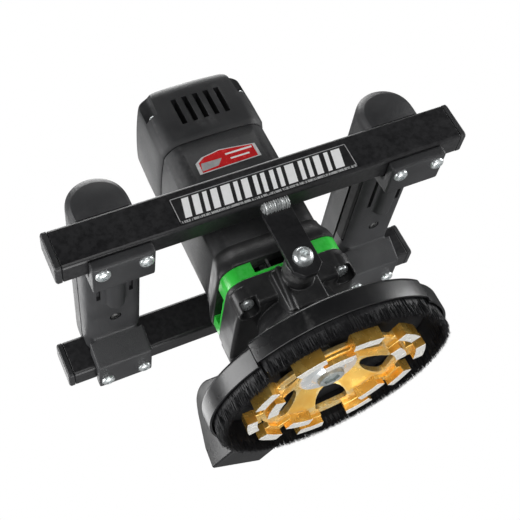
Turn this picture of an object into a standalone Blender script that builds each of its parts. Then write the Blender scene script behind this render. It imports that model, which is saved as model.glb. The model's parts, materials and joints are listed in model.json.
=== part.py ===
"""Two-handed surface grinder: cup wheel in a brush-ring dust hood, gear housing, upright motor, and an
H-shaped frame of two square tubes and two grips. Metres, +Z up, standing on its brush ring."""

import math

import bmesh
import bpy
from mathutils import Matrix, Vector

GAP = 0.0003
SPINDLE_Y = -0.0326  # spindle axis, so that the origin lies under the middle of the bounding box

# Frame
RAIL_LENGTH, RAIL_DEPTH, RAIL_HEIGHT, RAIL_WALL = 0.390, 0.025, 0.040, 0.0025
RAIL_BOTTOM = 0.1555
RAIL_TOP = RAIL_BOTTOM + RAIL_HEIGHT
FRONT_RAIL_Y = SPINDLE_Y - 0.0766
REAR_RAIL_Y = SPINDLE_Y + 0.1379
PLUG_FLANGE, PLUG_INSERT = 0.006, 0.018
BRACKET_WIDTH, BRACKET_THICK, BRACKET_END, BOLT_Z = 0.028, 0.005, 0.079, 0.097

# Grips
GRIP_X, GRIP_WIDTH, GRIP_EDGE_R, GRIP_ROOM_HALF = 0.1445, 0.0572, 0.012, 0.020
GRIP_BOTTOM, GRIP_TOP, FOOT_BOTTOM = 0.172, 0.2385, 0.1445
GRIP_OVERHANG, REAR_FOOT_OVERHANG = 0.0105, 0.0145
FOOT_SCREW_SPREAD, GRIP_SCREW_SINK = 0.039, 0.0035
GRIP_SCREW_Y = SPINDLE_Y + 0.062
SWITCH_Y = (SPINDLE_Y - 0.050, SPINDLE_Y + 0.088)
SWITCH_HINGE = (GRIP_X - GRIP_WIDTH / 2 + 0.0045, SPINDLE_Y - 0.046, 0.186)

# Motor and gear train
MODULE, PINION_TEETH, GEAR_TEETH = 0.0011, 8, 32
MOTOR_Y = SPINDLE_Y + MODULE * (PINION_TEETH + GEAR_TEETH) / 2
MOTOR_HALF, CAP_HALF, BELL_HALF, RING_HALF = 0.052, 0.0545, 0.059, 0.0582
MOTOR_CORNER, BELL_CORNER, MOTOR_ROOM_R = 0.014, 0.016, 0.0465
HOUSING_BOTTOM, HOUSING_TOP = 0.088, 0.1157
RING_TOP, BELL_TOP, SEAM_Z, MOTOR_TOP = 0.1307, 0.1550, 0.277, 0.3515
CASE_SCREW, CASE_POCKET_R, CASE_POCKET_DEPTH = 0.0480, 0.0085, 0.0095
VENT_PITCH, VENT_HALF, VENT_Z = 0.0115, 0.0027, (0.297, 0.329)
NOTCH_SPOT, NOTCH_R, NOTCH_Z = 0.0485, 0.0085, 0.319

# Turning parts: heights are (lower end, upper end)
SHAFT_R, SHAFT_TIP_R, SHAFT_BORE_R = 0.0050, 0.0019, 0.0053
SHAFT_Z, SHAFT_TIP_Z = (0.0903, 0.3125), 0.102
STATOR_Z, STATOR_R = (0.185, 0.245), (0.0275, 0.0455)
CORE_Z, CORE_R = (0.186, 0.244), 0.0268
COMMUTATOR_Z, COMMUTATOR_R = (0.258, 0.282), 0.0150
CARBON_Z, CARBON_REACH, CARBON_HALF = (0.265, 0.275), 0.036, 0.0035
FAN_Z, FAN_R = (0.1180, 0.1275), 0.044
GEAR_Z, GEAR_BORE_R, PINION_BORE_R = (0.091, 0.100), 0.0083, 0.0022
PLATE_Z, PLATE_R = 0.1045, 0.0415
GEAR_ROOM_Y = SPINDLE_Y + 0.011
MAIN_BEARING_Z, TOP_BEARING_Z = (0.0620, 0.0760), (0.1050, 0.1115)
MOTOR_BEARING_Z, CAP_BEARING_Z = (0.1055, 0.1120), (0.304, 0.3135)
ARMATURE_PIVOT, SPINDLE_PIVOT = (0, MOTOR_Y, 0.2), (0, SPINDLE_Y, 0.06)

# Hood and wheel
HOOD_R, HOOD_INNER_R, HOOD_BAND_Z, HOOD_TOP = 0.1172, 0.1150, 0.016, 0.036
BRUSH_OUT, BRUSH_IN, BRUSH_TOP = 0.1130, 0.1070, 0.0325
EDGE_HALF_ANGLE, EDGE_LIFT, EDGE_SPLIT_R = 43.5, 0.004, 0.1050
WHEEL_R, WHEEL_TIP, HUB_Z = 0.090, 0.0006, 0.021
SEGMENTS, WHEEL_OPENINGS, OPENING_RING_R = 12, 8, 0.046
DUCT_TURN, DUCT_LOW, DUCT_HIGH, DUCT_FALL = math.radians(35), -0.003, 0.066, 0.45
DUCT_BORE_R, DUCT_BORE_Z, DUCT_BORE_SHIFT, DUCT_WALL = 0.019, 0.046, 0.028, 0.003
# Side view of the duct, outside and inside: level underneath, leaning end, round shoulder, sloping roof
DUCT_OUTER = [
    (0.100, 0.018), (0.1765, 0.018), (0.1745, 0.040), (0.1640, 0.074), (0.1580, 0.086),
    (0.1490, 0.0935), (0.1370, 0.0960), (0.1250, 0.0940), (0.100, 0.085),
]
DUCT_INNER = [
    (0.090, 0.0235), (0.1730, 0.0212), (0.1713, 0.0392), (0.1611, 0.0727), (0.1556, 0.0838),
    (0.1477, 0.0906), (0.1368, 0.0929), (0.1256, 0.0910), (0.1035, 0.0828), (0.1035, 0.0310),
    (0.090, 0.0310),
]


def material(name, colour, roughness, metallic=0.0):
    made = bpy.data.materials.new(name)
    made.use_nodes = True
    shader = made.node_tree.nodes["Principled BSDF"]
    shader.inputs["Base Color"].default_value = (*colour, 1)
    shader.inputs["Roughness"].default_value = roughness
    shader.inputs["Metallic"].default_value = metallic
    return made


def clear_scene():
    for thing in list(bpy.data.objects):
        bpy.data.objects.remove(thing, do_unlink=True)


def finish_mesh(name, shape, look, pivot=(0, 0, 0)):
    """One object from a bmesh, with outward faces, its origin at pivot and round faces smooth."""
    bmesh.ops.recalc_face_normals(shape, faces=shape.faces)
    bmesh.ops.translate(shape, verts=shape.verts, vec=-Vector(pivot))
    mesh = bpy.data.meshes.new(name)
    shape.to_mesh(mesh)
    shape.free()
    mesh.shade_smooth()
    mesh.set_sharp_from_angle(angle=math.radians(35))
    thing = bpy.data.objects.new(name, mesh)
    thing.location = pivot
    bpy.context.scene.collection.objects.link(thing)
    if look is not None:
        mesh.materials.append(look)
    return thing


def loft(name, rings, look, pivot=(0, 0, 0), capped=True):
    """Skin through equal rings of points. Without caps, the last ring joins the first."""
    shape = bmesh.new()
    rows = [[shape.verts.new(point) for point in ring] for ring in rings]
    count = len(rings[0])
    pairs = list(zip(rows, rows[1:])) + ([] if capped else [(rows[-1], rows[0])])
    for lower, upper in pairs:
        for i in range(count):
            j = (i + 1) % count
            shape.faces.new((lower[i], lower[j], upper[j], upper[i]))
    if capped:
        shape.faces.new(rows[0][::-1])
        shape.faces.new(rows[-1])
    return finish_mesh(name, shape, look, pivot)


def turned(name, profile, look, centre=(0, 0), steps=32, pivot=(0, 0, 0)):
    """Closed (radius, z) profile, off the axis, turned right round a vertical axis."""
    rings = []
    for step in range(steps):
        angle = 2 * math.pi * step / steps
        c, s = math.cos(angle), math.sin(angle)
        rings.append([(centre[0] + r * c, centre[1] + r * s, z) for r, z in profile])
    return loft(name, rings, look, pivot, capped=False)


def sector(name, profile, start, end, look, centre=(0, 0), steps=16, pivot=(0, 0, 0)):
    """Closed (radius, z) profile turned from one angle to another, in degrees, and capped."""
    rings = []
    for step in range(steps + 1):
        angle = math.radians(start + (end - start) * step / steps)
        c, s = math.cos(angle), math.sin(angle)
        rings.append([(centre[0] + r * c, centre[1] + r * s, z) for r, z in profile])
    return loft(name, rings, look, pivot)


def prism(name, outline, low, high, look, axis="Z", pivot=(0, 0, 0)):
    """Outline of two coordinates, extruded along the third axis."""
    order = {"Z": (0, 1, 2), "X": (2, 0, 1), "Y": (0, 2, 1)}[axis]
    rings = []
    for height in (low, high):
        rings.append([tuple((a, b, height)[i] for i in order) for a, b in outline])
    return loft(name, rings, look, pivot)


def box(name, low, high, look=None, pivot=(0, 0, 0)):
    outline = [(low[0], low[1]), (high[0], low[1]), (high[0], high[1]), (low[0], high[1])]
    return prism(name, outline, low[2], high[2], look, pivot=pivot)


def circle(radius, centre=(0, 0), steps=24):
    angles = [2 * math.pi * i / steps for i in range(steps)]
    return [(centre[0] + radius * math.cos(a), centre[1] + radius * math.sin(a)) for a in angles]


def rounded_box(half_a, half_b, radius, centre=(0, 0), bulge=0.0, corner_steps=3):
    """Rounded rectangle, whose sides can bulge outwards at their middles."""
    points = []
    for quarter, (sa, sb) in enumerate(((1, 1), (-1, 1), (-1, -1), (1, -1))):
        for step in range(corner_steps + 1):
            angle = math.pi / 2 * (quarter + step / corner_steps)
            a = sa * (half_a - radius) + radius * math.cos(angle)
            b = sb * (half_b - radius) + radius * math.sin(angle)
            points.append((centre[0] + a, centre[1] + b))
        if bulge:
            angle = math.pi / 2 * (quarter + 1)
            a, b = (half_a + bulge) * math.cos(angle), (half_b + bulge) * math.sin(angle)
            points.append((centre[0] + a, centre[1] + b))
    return points


def helper(thing):
    thing.hide_render = True
    thing.display_type = "WIRE"
    return thing


def combine(target, operation, *others):
    for other in others:
        helper(other)
        change = target.modifiers.new(f"{operation.lower()} {other.name}", "BOOLEAN")
        change.operation = operation
        change.solver = "EXACT"
        change.object = other
    return target


def cut(target, *cutters):
    return combine(target, "DIFFERENCE", *cutters)


def join(target, *others):
    return combine(target, "UNION", *others)


def round_edges(thing, width, segments=2, angle=40):
    bevel = thing.modifiers.new("rounded edges", "BEVEL")
    bevel.width = width
    bevel.segments = segments
    bevel.limit_method = "ANGLE"
    bevel.angle_limit = math.radians(angle)
    return thing


def looks():
    return {
        "satin_black": material("satin_black", (0.018, 0.018, 0.02), 0.42),
        "grip_plastic": material("grip_plastic", (0.022, 0.023, 0.025), 0.6),
        "motor_plastic": material("motor_plastic", (0.02, 0.021, 0.023), 0.5),
        "cast_black": material("cast_black", (0.02, 0.02, 0.022), 0.45, 0.3),
        "green_plastic": material("green_plastic", (0.03, 0.62, 0.06), 0.4),
        "zinc": material("zinc", (0.72, 0.74, 0.76), 0.3, 1.0),
        "steel": material("steel", (0.55, 0.56, 0.58), 0.35, 1.0),
        "gold": material("gold", (0.85, 0.52, 0.12), 0.3, 1.0),
        "copper": material("copper", (0.75, 0.36, 0.2), 0.35, 1.0),
        "carbon": material("carbon", (0.03, 0.03, 0.03), 0.7),
        "bristle": material("bristle", (0.015, 0.015, 0.016), 0.8),
        "rubber": material("rubber", (0.02, 0.02, 0.02), 0.75),
    }


def make_rail(name, y, look):
    """Square tube along X, open at both ends."""
    middle = RAIL_BOTTOM + RAIL_HEIGHT / 2
    outer = rounded_box(RAIL_DEPTH / 2, RAIL_HEIGHT / 2, 0.003, (y, middle), corner_steps=2)
    inner = rounded_box(
        RAIL_DEPTH / 2 - RAIL_WALL, RAIL_HEIGHT / 2 - RAIL_WALL, 0.0015, (y, middle), corner_steps=2
    )
    end = RAIL_LENGTH / 2
    sections = ((-end, outer), (end, outer), (end, inner), (-end, inner))
    return loft(name, [[(x, a, b) for a, b in outline] for x, outline in sections], look, capped=False)


def make_plug(name, y, side, look):
    """Plastic end plug: a flange as big as the tube, and an insert inside it."""
    middle = RAIL_BOTTOM + RAIL_HEIGHT / 2
    start = RAIL_LENGTH / 2 + GAP
    steps = (
        (start - PLUG_INSERT, RAIL_WALL + 2 * GAP),
        (start, RAIL_WALL + 2 * GAP),
        (start, 0.0),
        (start + PLUG_FLANGE - 0.0015, 0.0),
        (start + PLUG_FLANGE, 0.0015),
    )
    rings = []
    for x, inset in steps:
        half_depth, half_height = RAIL_DEPTH / 2 - inset, RAIL_HEIGHT / 2 - inset
        outline = rounded_box(half_depth, half_height, 0.0025, (y, middle), corner_steps=2)
        rings.append([(side * x, a, b) for a, b in outline])
    return loft(name, rings, look)


def make_bracket(name, y, look):
    """Flat bar welded under a rail, with its bolt hole near the rounded lower end."""
    half, corner = BRACKET_WIDTH / 2, 0.008
    outline = [(-half, RAIL_BOTTOM - GAP), (-half, BRACKET_END + corner), (-half + corner, BRACKET_END)]
    outline += [(-a, b) for a, b in reversed(outline)]
    bar = prism(name, outline, y - BRACKET_THICK / 2, y + BRACKET_THICK / 2, look, axis="Y")
    hole = prism(name + "_hole", circle(0.0047, (0, BOLT_Z), 16), y - 0.02, y + 0.02, None, axis="Y")
    return cut(bar, hole)


def make_bracket_bolt(name, face, towards, look):
    """Round-headed bolt along Y. The head lies on the bracket's outer face, away from the housing."""
    head = ((-0.0078, 0.0055), (-0.0068, 0.0085), (-0.001, 0.0092), (-GAP, 0.0092))
    steps = (*head, (-GAP, 0.004), (0.030, 0.004))
    rings = [[(a, face + towards * y, b) for a, b in circle(r, (0, BOLT_Z), 20)] for y, r in steps]
    bolt = loft(name, rings, look)
    low, high = sorted((face - towards * 0.012, face - towards * 0.0045))
    return cut(bolt, prism(name + "_socket", circle(0.0035, (0, BOLT_Z), 6), low, high, None, axis="Y"))


def make_frame(look):
    for end, y in (("front", FRONT_RAIL_Y), ("rear", REAR_RAIL_Y)):
        make_rail(f"{end}_rail", y, look["satin_black"])
        for side, sign in (("left", -1), ("right", 1)):
            make_plug(f"{end}_rail_plug_{side}", y, sign, look["motor_plastic"])
    make_bracket("front_bracket", FRONT_RAIL_Y, look["satin_black"])
    make_bracket("rear_bracket", REAR_RAIL_Y, look["satin_black"])
    make_bracket_bolt("front_bracket_bolt", FRONT_RAIL_Y - BRACKET_THICK / 2, 1, look["zinc"])
    make_bracket_bolt("rear_bracket_bolt", REAR_RAIL_Y + BRACKET_THICK / 2, -1, look["zinc"])


def grip_arch(x, width, top):
    """Section of a grip's upper shell: flat underneath, straight low sides, round top."""
    base, half = RAIL_TOP + GAP, width / 2
    shoulder = base + 0.008
    points = [(x - half, base), (x + half, base)]
    for step in range(9):
        angle = math.pi * step / 8
        points.append((x + half * math.cos(angle), shoulder + (top - shoulder) * math.sin(angle) ** 0.8))
    return points


def make_grip_upper(name, x, look):
    """Upper half shell, lying over both rails, with rounded ends."""
    start, end = FRONT_RAIL_Y - GRIP_OVERHANG, REAR_RAIL_Y + GRIP_OVERHANG
    taper = ((0.0, 0.84, 0.78), (0.002, 0.93, 0.90), (0.006, 0.98, 0.97), (0.013, 1.0, 1.0))
    stations = [(start + d, w, h) for d, w, h in taper] + [(end - d, w, h) for d, w, h in reversed(taper)]
    base = RAIL_TOP + GAP
    rings = []
    for y, w, h in stations:
        top = base + (GRIP_TOP - base) * h
        rings.append([(a, y, b) for a, b in grip_arch(x, GRIP_WIDTH * w, top)])
    shell = loft(name, rings, look)
    low = (x - GRIP_ROOM_HALF, start + 0.020, base - 0.01)
    high = (x + GRIP_ROOM_HALF, end - 0.020, base + 0.022)
    return cut(shell, box(name + "_room", low, high))


def lower_outline():
    """Side view of a grip's lower shell: a foot under each rail, and the grip's underside between them."""
    front, back = FRONT_RAIL_Y + RAIL_DEPTH / 2 + GAP, REAR_RAIL_Y - RAIL_DEPTH / 2 - GAP
    under, split = RAIL_BOTTOM - GAP, RAIL_TOP - GAP
    nose, tail = FRONT_RAIL_Y - GRIP_OVERHANG, REAR_RAIL_Y + REAR_FOOT_OVERHANG
    front_foot = [(nose, FOOT_BOTTOM), (front + 0.014, FOOT_BOTTOM), (front + 0.017, GRIP_BOTTOM)]
    rear_foot = [(back - 0.029, GRIP_BOTTOM), (back - 0.017, FOOT_BOTTOM), (tail, FOOT_BOTTOM)]
    above = [(tail, under), (back, under), (back, split), (front, split), (front, under), (nose, under)]
    return front_foot + rear_foot + above


def edge_cutter(name, x, side):
    """What rounds off one long lower edge between the feet."""
    corner = x + side * (GRIP_WIDTH / 2 - GRIP_EDGE_R)
    outline = [(x + side * 0.04, GRIP_BOTTOM + GRIP_EDGE_R)]
    for step in range(7):
        angle = math.pi / 2 * step / 6
        across, down = GRIP_EDGE_R * math.cos(angle), GRIP_EDGE_R * math.sin(angle)
        outline.append((corner + side * across, GRIP_BOTTOM + GRIP_EDGE_R - down))
    outline += [(corner, FOOT_BOTTOM - 0.01), (x + side * 0.04, FOOT_BOTTOM - 0.01)]
    front, back = FRONT_RAIL_Y + RAIL_DEPTH / 2, REAR_RAIL_Y - RAIL_DEPTH / 2
    return prism(name, outline, front + 0.0155, back - 0.024, None, axis="Y")


def make_grip_lower(name, x, look):
    """Lower half shell between the rails, with a foot under each rail."""
    front, back = FRONT_RAIL_Y + RAIL_DEPTH / 2 + GAP, REAR_RAIL_Y - RAIL_DEPTH / 2 - GAP
    half = GRIP_WIDTH / 2
    shell = prism(name, lower_outline(), x - half, x + half, look, axis="X")
    round_edges(shell, 0.0025, 2)
    cut(shell, edge_cutter(name + "_edge_l", x, -1), edge_cutter(name + "_edge_r", x, 1))
    ridge = circle(0.0095, (x, GRIP_BOTTOM + 0.0015), 16)
    join(shell, prism(name + "_ridge", ridge, front + 0.008, SPINDLE_Y + 0.049, None, axis="Y"))
    low = (x - GRIP_ROOM_HALF, front + 0.006, GRIP_BOTTOM + 0.006)
    cut(shell, box(name + "_room", low, (x + GRIP_ROOM_HALF, back - 0.006, RAIL_TOP + 0.01)))
    for offset in (-0.0155, 0.0155):
        low = (x + offset - 0.0016, front + 0.022, GRIP_BOTTOM - 0.01)
        high = (x + offset + 0.0016, SPINDLE_Y + 0.030, GRIP_BOTTOM + 0.004)
        cut(shell, box(f"{name}_slot_{'l' if offset < 0 else 'r'}", low, high))
    for y in (FRONT_RAIL_Y, REAR_RAIL_Y):
        for side in (-1, 1):
            spot = circle(0.0028, (x + side * FOOT_SCREW_SPREAD / 2, y), 10)
            cut(shell, prism(f"{name}_bore", spot, FOOT_BOTTOM - 0.01, RAIL_BOTTOM + 0.01, None))
    sink, pilot = circle(0.0062, (x, GRIP_SCREW_Y), 14), circle(0.0026, (x, GRIP_SCREW_Y), 10)
    cut(shell, prism(name + "_sink", sink, GRIP_BOTTOM - 0.01, GRIP_BOTTOM + GRIP_SCREW_SINK, None))
    cut(shell, prism(name + "_pilot", pilot, GRIP_BOTTOM - 0.01, GRIP_BOTTOM + 0.01, None))
    return shell


def make_pan_screw(name, x, y, z, length, look, head=0.0068):
    """Pan-head screw pointing up, its head under z."""
    dome = ((-0.0042, head * 0.55), (-0.003, head * 0.9), (-0.0012, head), (-GAP, head))
    steps = (*dome, (-GAP, 0.0024), (length, 0.0024))
    rings = [[(a, b, z + dz) for a, b in circle(r, (x, y), 12)] for dz, r in steps]
    return loft(name, rings, look)


def make_grips(look):
    for side, sign in (("left", -1), ("right", 1)):
        x = sign * GRIP_X
        make_grip_upper(f"{side}_grip_upper", x, look["grip_plastic"])
        lower = make_grip_lower(f"{side}_grip_lower", x, look["grip_plastic"])
        if side == "right":
            make_switch(lower, look)
        for end, y in (("front", FRONT_RAIL_Y), ("rear", REAR_RAIL_Y)):
            for place, shift in (("outer", sign), ("inner", -sign)):
                spot, name = x + shift * FOOT_SCREW_SPREAD / 2, f"{side}_{end}_foot_screw_{place}"
                make_pan_screw(name, spot, y, FOOT_BOTTOM, 0.0095, look["zinc"])
        sink = GRIP_BOTTOM + GRIP_SCREW_SINK
        make_pan_screw(f"{side}_grip_screw", x, GRIP_SCREW_Y, sink, 0.006, look["zinc"], head=0.005)


def make_switch(lower, look):
    """Long switch paddle in the right grip's inner side, and the switch behind it."""
    inner = GRIP_X - GRIP_WIDTH / 2
    low = (inner - 0.0012, SWITCH_Y[0], GRIP_BOTTOM + 0.0085)
    high = (inner + 0.0085, SWITCH_Y[1], RAIL_TOP - 0.0025)
    paddle = box("switch_paddle", low, high, look["rubber"], pivot=SWITCH_HINGE)
    round_edges(paddle, 0.002, 2)
    clearance = 0.0008
    slot = box(
        "switch_slot",
        (inner - 0.01, low[1] - clearance, low[2] - clearance),
        (inner + 0.0135, high[1] + clearance, RAIL_TOP + 0.01),
    )
    cut(lower, slot)
    box(
        "switch_block",
        (GRIP_X - 0.007, SPINDLE_Y - 0.010, GRIP_BOTTOM + 0.0063),
        (GRIP_X + 0.018, SPINDLE_Y + 0.035, RAIL_TOP - 0.002),
        look["motor_plastic"],
    )


def make_motor_housing(look):
    centre = (0, MOTOR_Y)
    body = rounded_box(MOTOR_HALF, MOTOR_HALF, MOTOR_CORNER, centre, bulge=0.003)
    housing = prism("motor_housing", body, BELL_TOP + GAP, SEAM_Z - GAP, look["motor_plastic"])
    cut(housing, prism("motor_room", circle(MOTOR_ROOM_R, centre, 32), BELL_TOP - 0.01, SEAM_Z + 0.01, None))


def make_rear_cap(look):
    """Cap over the brushes, wider than the housing, with slots in two sides and notched corners."""
    centre = (0, MOTOR_Y)
    steps = [(SEAM_Z, 0.0020), (SEAM_Z + 0.006, 0.0), (MOTOR_TOP - 0.016, 0.0005)]
    rings = []
    for z, inset in (*steps, (MOTOR_TOP - 0.005, 0.004), (MOTOR_TOP, 0.0105)):
        outline = rounded_box(CAP_HALF - inset, CAP_HALF - inset, MOTOR_CORNER, centre, bulge=0.003)
        rings.append([(a, b, z) for a, b in outline])
    cap = loft("rear_cap", rings, look["motor_plastic"])
    room = circle(MOTOR_ROOM_R, centre, 32)
    cut(cap, prism("cap_room", room, SEAM_Z - 0.01, MOTOR_TOP - 0.0075, None))
    join(cap, prism("cap_boss", circle(0.018, centre, 24), 0.301, MOTOR_TOP - 0.003, None))
    cut(cap, prism("cap_seat", circle(0.0133, centre, 24), 0.290, 0.314, None))
    for index in range(5):
        x = (index - 2) * VENT_PITCH
        for end, near, far in (("front", -0.07, -0.03), ("rear", 0.03, 0.07)):
            low = (x - VENT_HALF, MOTOR_Y + near, VENT_Z[0])
            cut(cap, box(f"{end}_vent_{index}", low, (x + VENT_HALF, MOTOR_Y + far, VENT_Z[1])))
    for sx in (-1, 1):
        for sy in (-1, 1):
            spot = (sx * NOTCH_SPOT, MOTOR_Y + sy * NOTCH_SPOT)
            cut(cap, prism("cap_notch", circle(NOTCH_R, spot, 16), NOTCH_Z, MOTOR_TOP + 0.01, None))


def make_bell(look):
    centre = (0, MOTOR_Y)
    rings, edge = [], 0.003
    for z, half in ((RING_TOP + GAP, BELL_HALF), (BELL_TOP - edge, BELL_HALF), (BELL_TOP, BELL_HALF - edge)):
        rings.append([(a, b, z) for a, b in rounded_box(half, half, BELL_CORNER, centre, bulge=0.001)])
    bell = loft("bearing_bell", rings, look["cast_black"])
    cut(bell, prism("bell_room", circle(0.0475, centre, 32), RING_TOP - 0.01, BELL_TOP + 0.01, None))


def make_vent_ring(look):
    """Coloured ring with an air window in each side."""
    centre = (0, MOTOR_Y)
    outline = rounded_box(RING_HALF, RING_HALF, BELL_CORNER, centre, bulge=0.001)
    ring = prism("vent_ring", outline, HOUSING_TOP + GAP, RING_TOP, look["green_plastic"])
    cut(ring, prism("ring_room", circle(0.0500, centre, 32), HOUSING_TOP - 0.01, RING_TOP + 0.01, None))
    low, high = HOUSING_TOP + 0.0030, RING_TOP + 0.01
    cut(ring, box("ring_window_x", (-0.08, MOTOR_Y - 0.0265, low), (0.08, MOTOR_Y + 0.0265, high)))
    cut(ring, box("ring_window_y", (-0.0305, MOTOR_Y - 0.08, low), (0.0305, MOTOR_Y + 0.08, high)))


def make_case_corner(housing, sx, sy, look):
    """Screw pocket in one lower corner of the gear housing, open to both sides, and its screw."""
    spot = (sx * CASE_SCREW, MOTOR_Y + sy * CASE_SCREW)
    far = (spot[0] + sx * 0.02, spot[1] + sy * 0.02)
    side, end = ("left", "right")[sx > 0], ("front", "rear")[sy > 0]
    name, below, seat = f"{end}_{side}_pocket", HOUSING_BOTTOM - 0.01, HOUSING_BOTTOM + CASE_POCKET_DEPTH
    low = (min(spot[0], far[0]), min(spot[1], far[1]), below)
    high = (max(spot[0], far[0]), max(spot[1], far[1]), HOUSING_BOTTOM + 0.0045)
    cut(housing, prism(name, circle(CASE_POCKET_R, spot, 14), below, seat, None))
    cut(housing, box(name + "_open", low, high))
    cut(housing, prism(name + "_hole", circle(0.0028, spot, 10), HOUSING_BOTTOM, HOUSING_TOP + 0.01, None))
    make_pan_screw(f"case_screw_{end}_{side}", *spot, seat, 0.015, look["zinc"], head=0.0062)


def make_gear_housing(look):
    centre, spindle = (0, MOTOR_Y), (0, SPINDLE_Y)
    outline = rounded_box(BELL_HALF, BELL_HALF, BELL_CORNER, centre, bulge=0.001)
    housing = prism("gear_housing", outline, HOUSING_BOTTOM, HOUSING_TOP, look["cast_black"])
    neck = [(r, z) for r, z in ((0.060, HOOD_TOP + 0.0083), (0.058, 0.052), (0.040, 0.078), (0.036, 0.092))]
    rings = [[(a, b, z) for a, b in circle(r, spindle, 24)] for r, z in neck]
    join(housing, loft("housing_neck", rings, None))
    low = (-0.0195, MOTOR_Y - BELL_HALF - 0.0008, 0.058)
    block = box("housing_block", low, (0.0215, SPINDLE_Y, HOUSING_TOP - 0.006))
    join(housing, round_edges(block, 0.002, 1))
    front_face = FRONT_RAIL_Y + BRACKET_THICK / 2 + GAP
    rear_face = REAR_RAIL_Y - BRACKET_THICK / 2 - GAP
    boss = circle(0.0150, (0, BOLT_Z), 24)
    join(housing, prism("front_boss", boss, front_face, SPINDLE_Y - 0.025, None, axis="Y"))
    join(housing, prism("rear_boss", boss, MOTOR_Y + 0.050, rear_face, None, axis="Y"))
    room = circle(0.042, (0, GEAR_ROOM_Y), 32)
    cut(housing, prism("gear_room", room, HOUSING_BOTTOM, HOUSING_TOP + 0.01, None))
    cut(housing, prism("bearing_seat", circle(0.0178, spindle, 24), 0.0617, HOUSING_BOTTOM + 0.01, None))
    cut(housing, prism("spindle_bore", circle(0.0125, spindle, 24), HOOD_TOP - 0.01, 0.070, None))
    bolt_bore = circle(0.0043, (0, BOLT_Z), 16)
    cut(housing, prism("front_bore", bolt_bore, front_face - 0.01, front_face + 0.028, None, axis="Y"))
    cut(housing, prism("rear_bore", bolt_bore, rear_face - 0.028, rear_face + 0.01, None, axis="Y"))
    for sx in (-1, 1):
        for sy in (-1, 1):
            make_case_corner(housing, sx, sy, look)


def make_bearing(name, centre, ends, inner, outer, look):
    edge, (low, high) = 0.0005, ends
    outside = [(outer - edge, low), (outer, low + edge), (outer, high - edge), (outer - edge, high)]
    turned(name, [(inner, low), *outside, (inner, high)], look, centre, 16)


def gear_outline(teeth, centre, phase):
    """Straight-flanked teeth, thinner than their gaps so that the pair runs freely."""
    pitch = MODULE * teeth / 2
    tip, root = pitch + 0.75 * MODULE, pitch - 1.1 * MODULE
    step = 2 * math.pi / teeth
    points = []
    for tooth in range(teeth):
        middle = phase + tooth * step
        for share, radius in ((-0.26, root), (-0.11, tip), (0.11, tip), (0.26, root)):
            angle = middle + share * step
            points.append((centre[0] + radius * math.cos(angle), centre[1] + radius * math.sin(angle)))
    return points


def on_shaft(name, radius, ends, look):
    """A round piece on the armature shaft, which turns with it."""
    profile = [(SHAFT_BORE_R, ends[0]), (radius, ends[0]), (radius, ends[1]), (SHAFT_BORE_R, ends[1])]
    turned(name, profile, look, (0, MOTOR_Y), 24, ARMATURE_PIVOT)


def stepped(name, centre, steps, look, pivot, sides):
    """Solid turned shape from (z, radius) steps."""
    return loft(name, [[(a, b, z) for a, b in circle(r, centre, sides)] for z, r in steps], look, pivot)


def make_gear(name, teeth, centre, phase, bore, look, pivot):
    low, high = GEAR_Z
    gear = prism(name, gear_outline(teeth, centre, phase), low, high, look, pivot=pivot)
    return cut(gear, prism(name + "_bore", circle(bore, centre, 20), low - 0.01, high + 0.01, None))


def make_armature(look):
    centre = (0, MOTOR_Y)
    steps = [(SHAFT_Z[0], SHAFT_TIP_R), (SHAFT_TIP_Z - 0.001, SHAFT_TIP_R), (SHAFT_TIP_Z + 0.001, SHAFT_R)]
    steps += [(SHAFT_Z[1] - 0.001, SHAFT_R), (SHAFT_Z[1], SHAFT_R - 0.001)]
    stepped("armature_shaft", centre, steps, look["steel"], ARMATURE_PIVOT, 16)
    on_shaft("armature_core", CORE_R, CORE_Z, look["copper"])
    on_shaft("commutator", COMMUTATOR_R, COMMUTATOR_Z, look["copper"])
    low, high = FAN_Z
    under, rim = [(SHAFT_BORE_R, low), (0.012, low)], [(FAN_R, high - 0.003), (FAN_R, high - 0.0015)]
    profile = [*under, *rim, (SHAFT_BORE_R, high)]
    turned("cooling_fan", profile, look["motor_plastic"], centre, 24, ARMATURE_PIVOT)
    make_gear("pinion", PINION_TEETH, centre, -math.pi / 2, PINION_BORE_R, look["steel"], ARMATURE_PIVOT)


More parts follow.
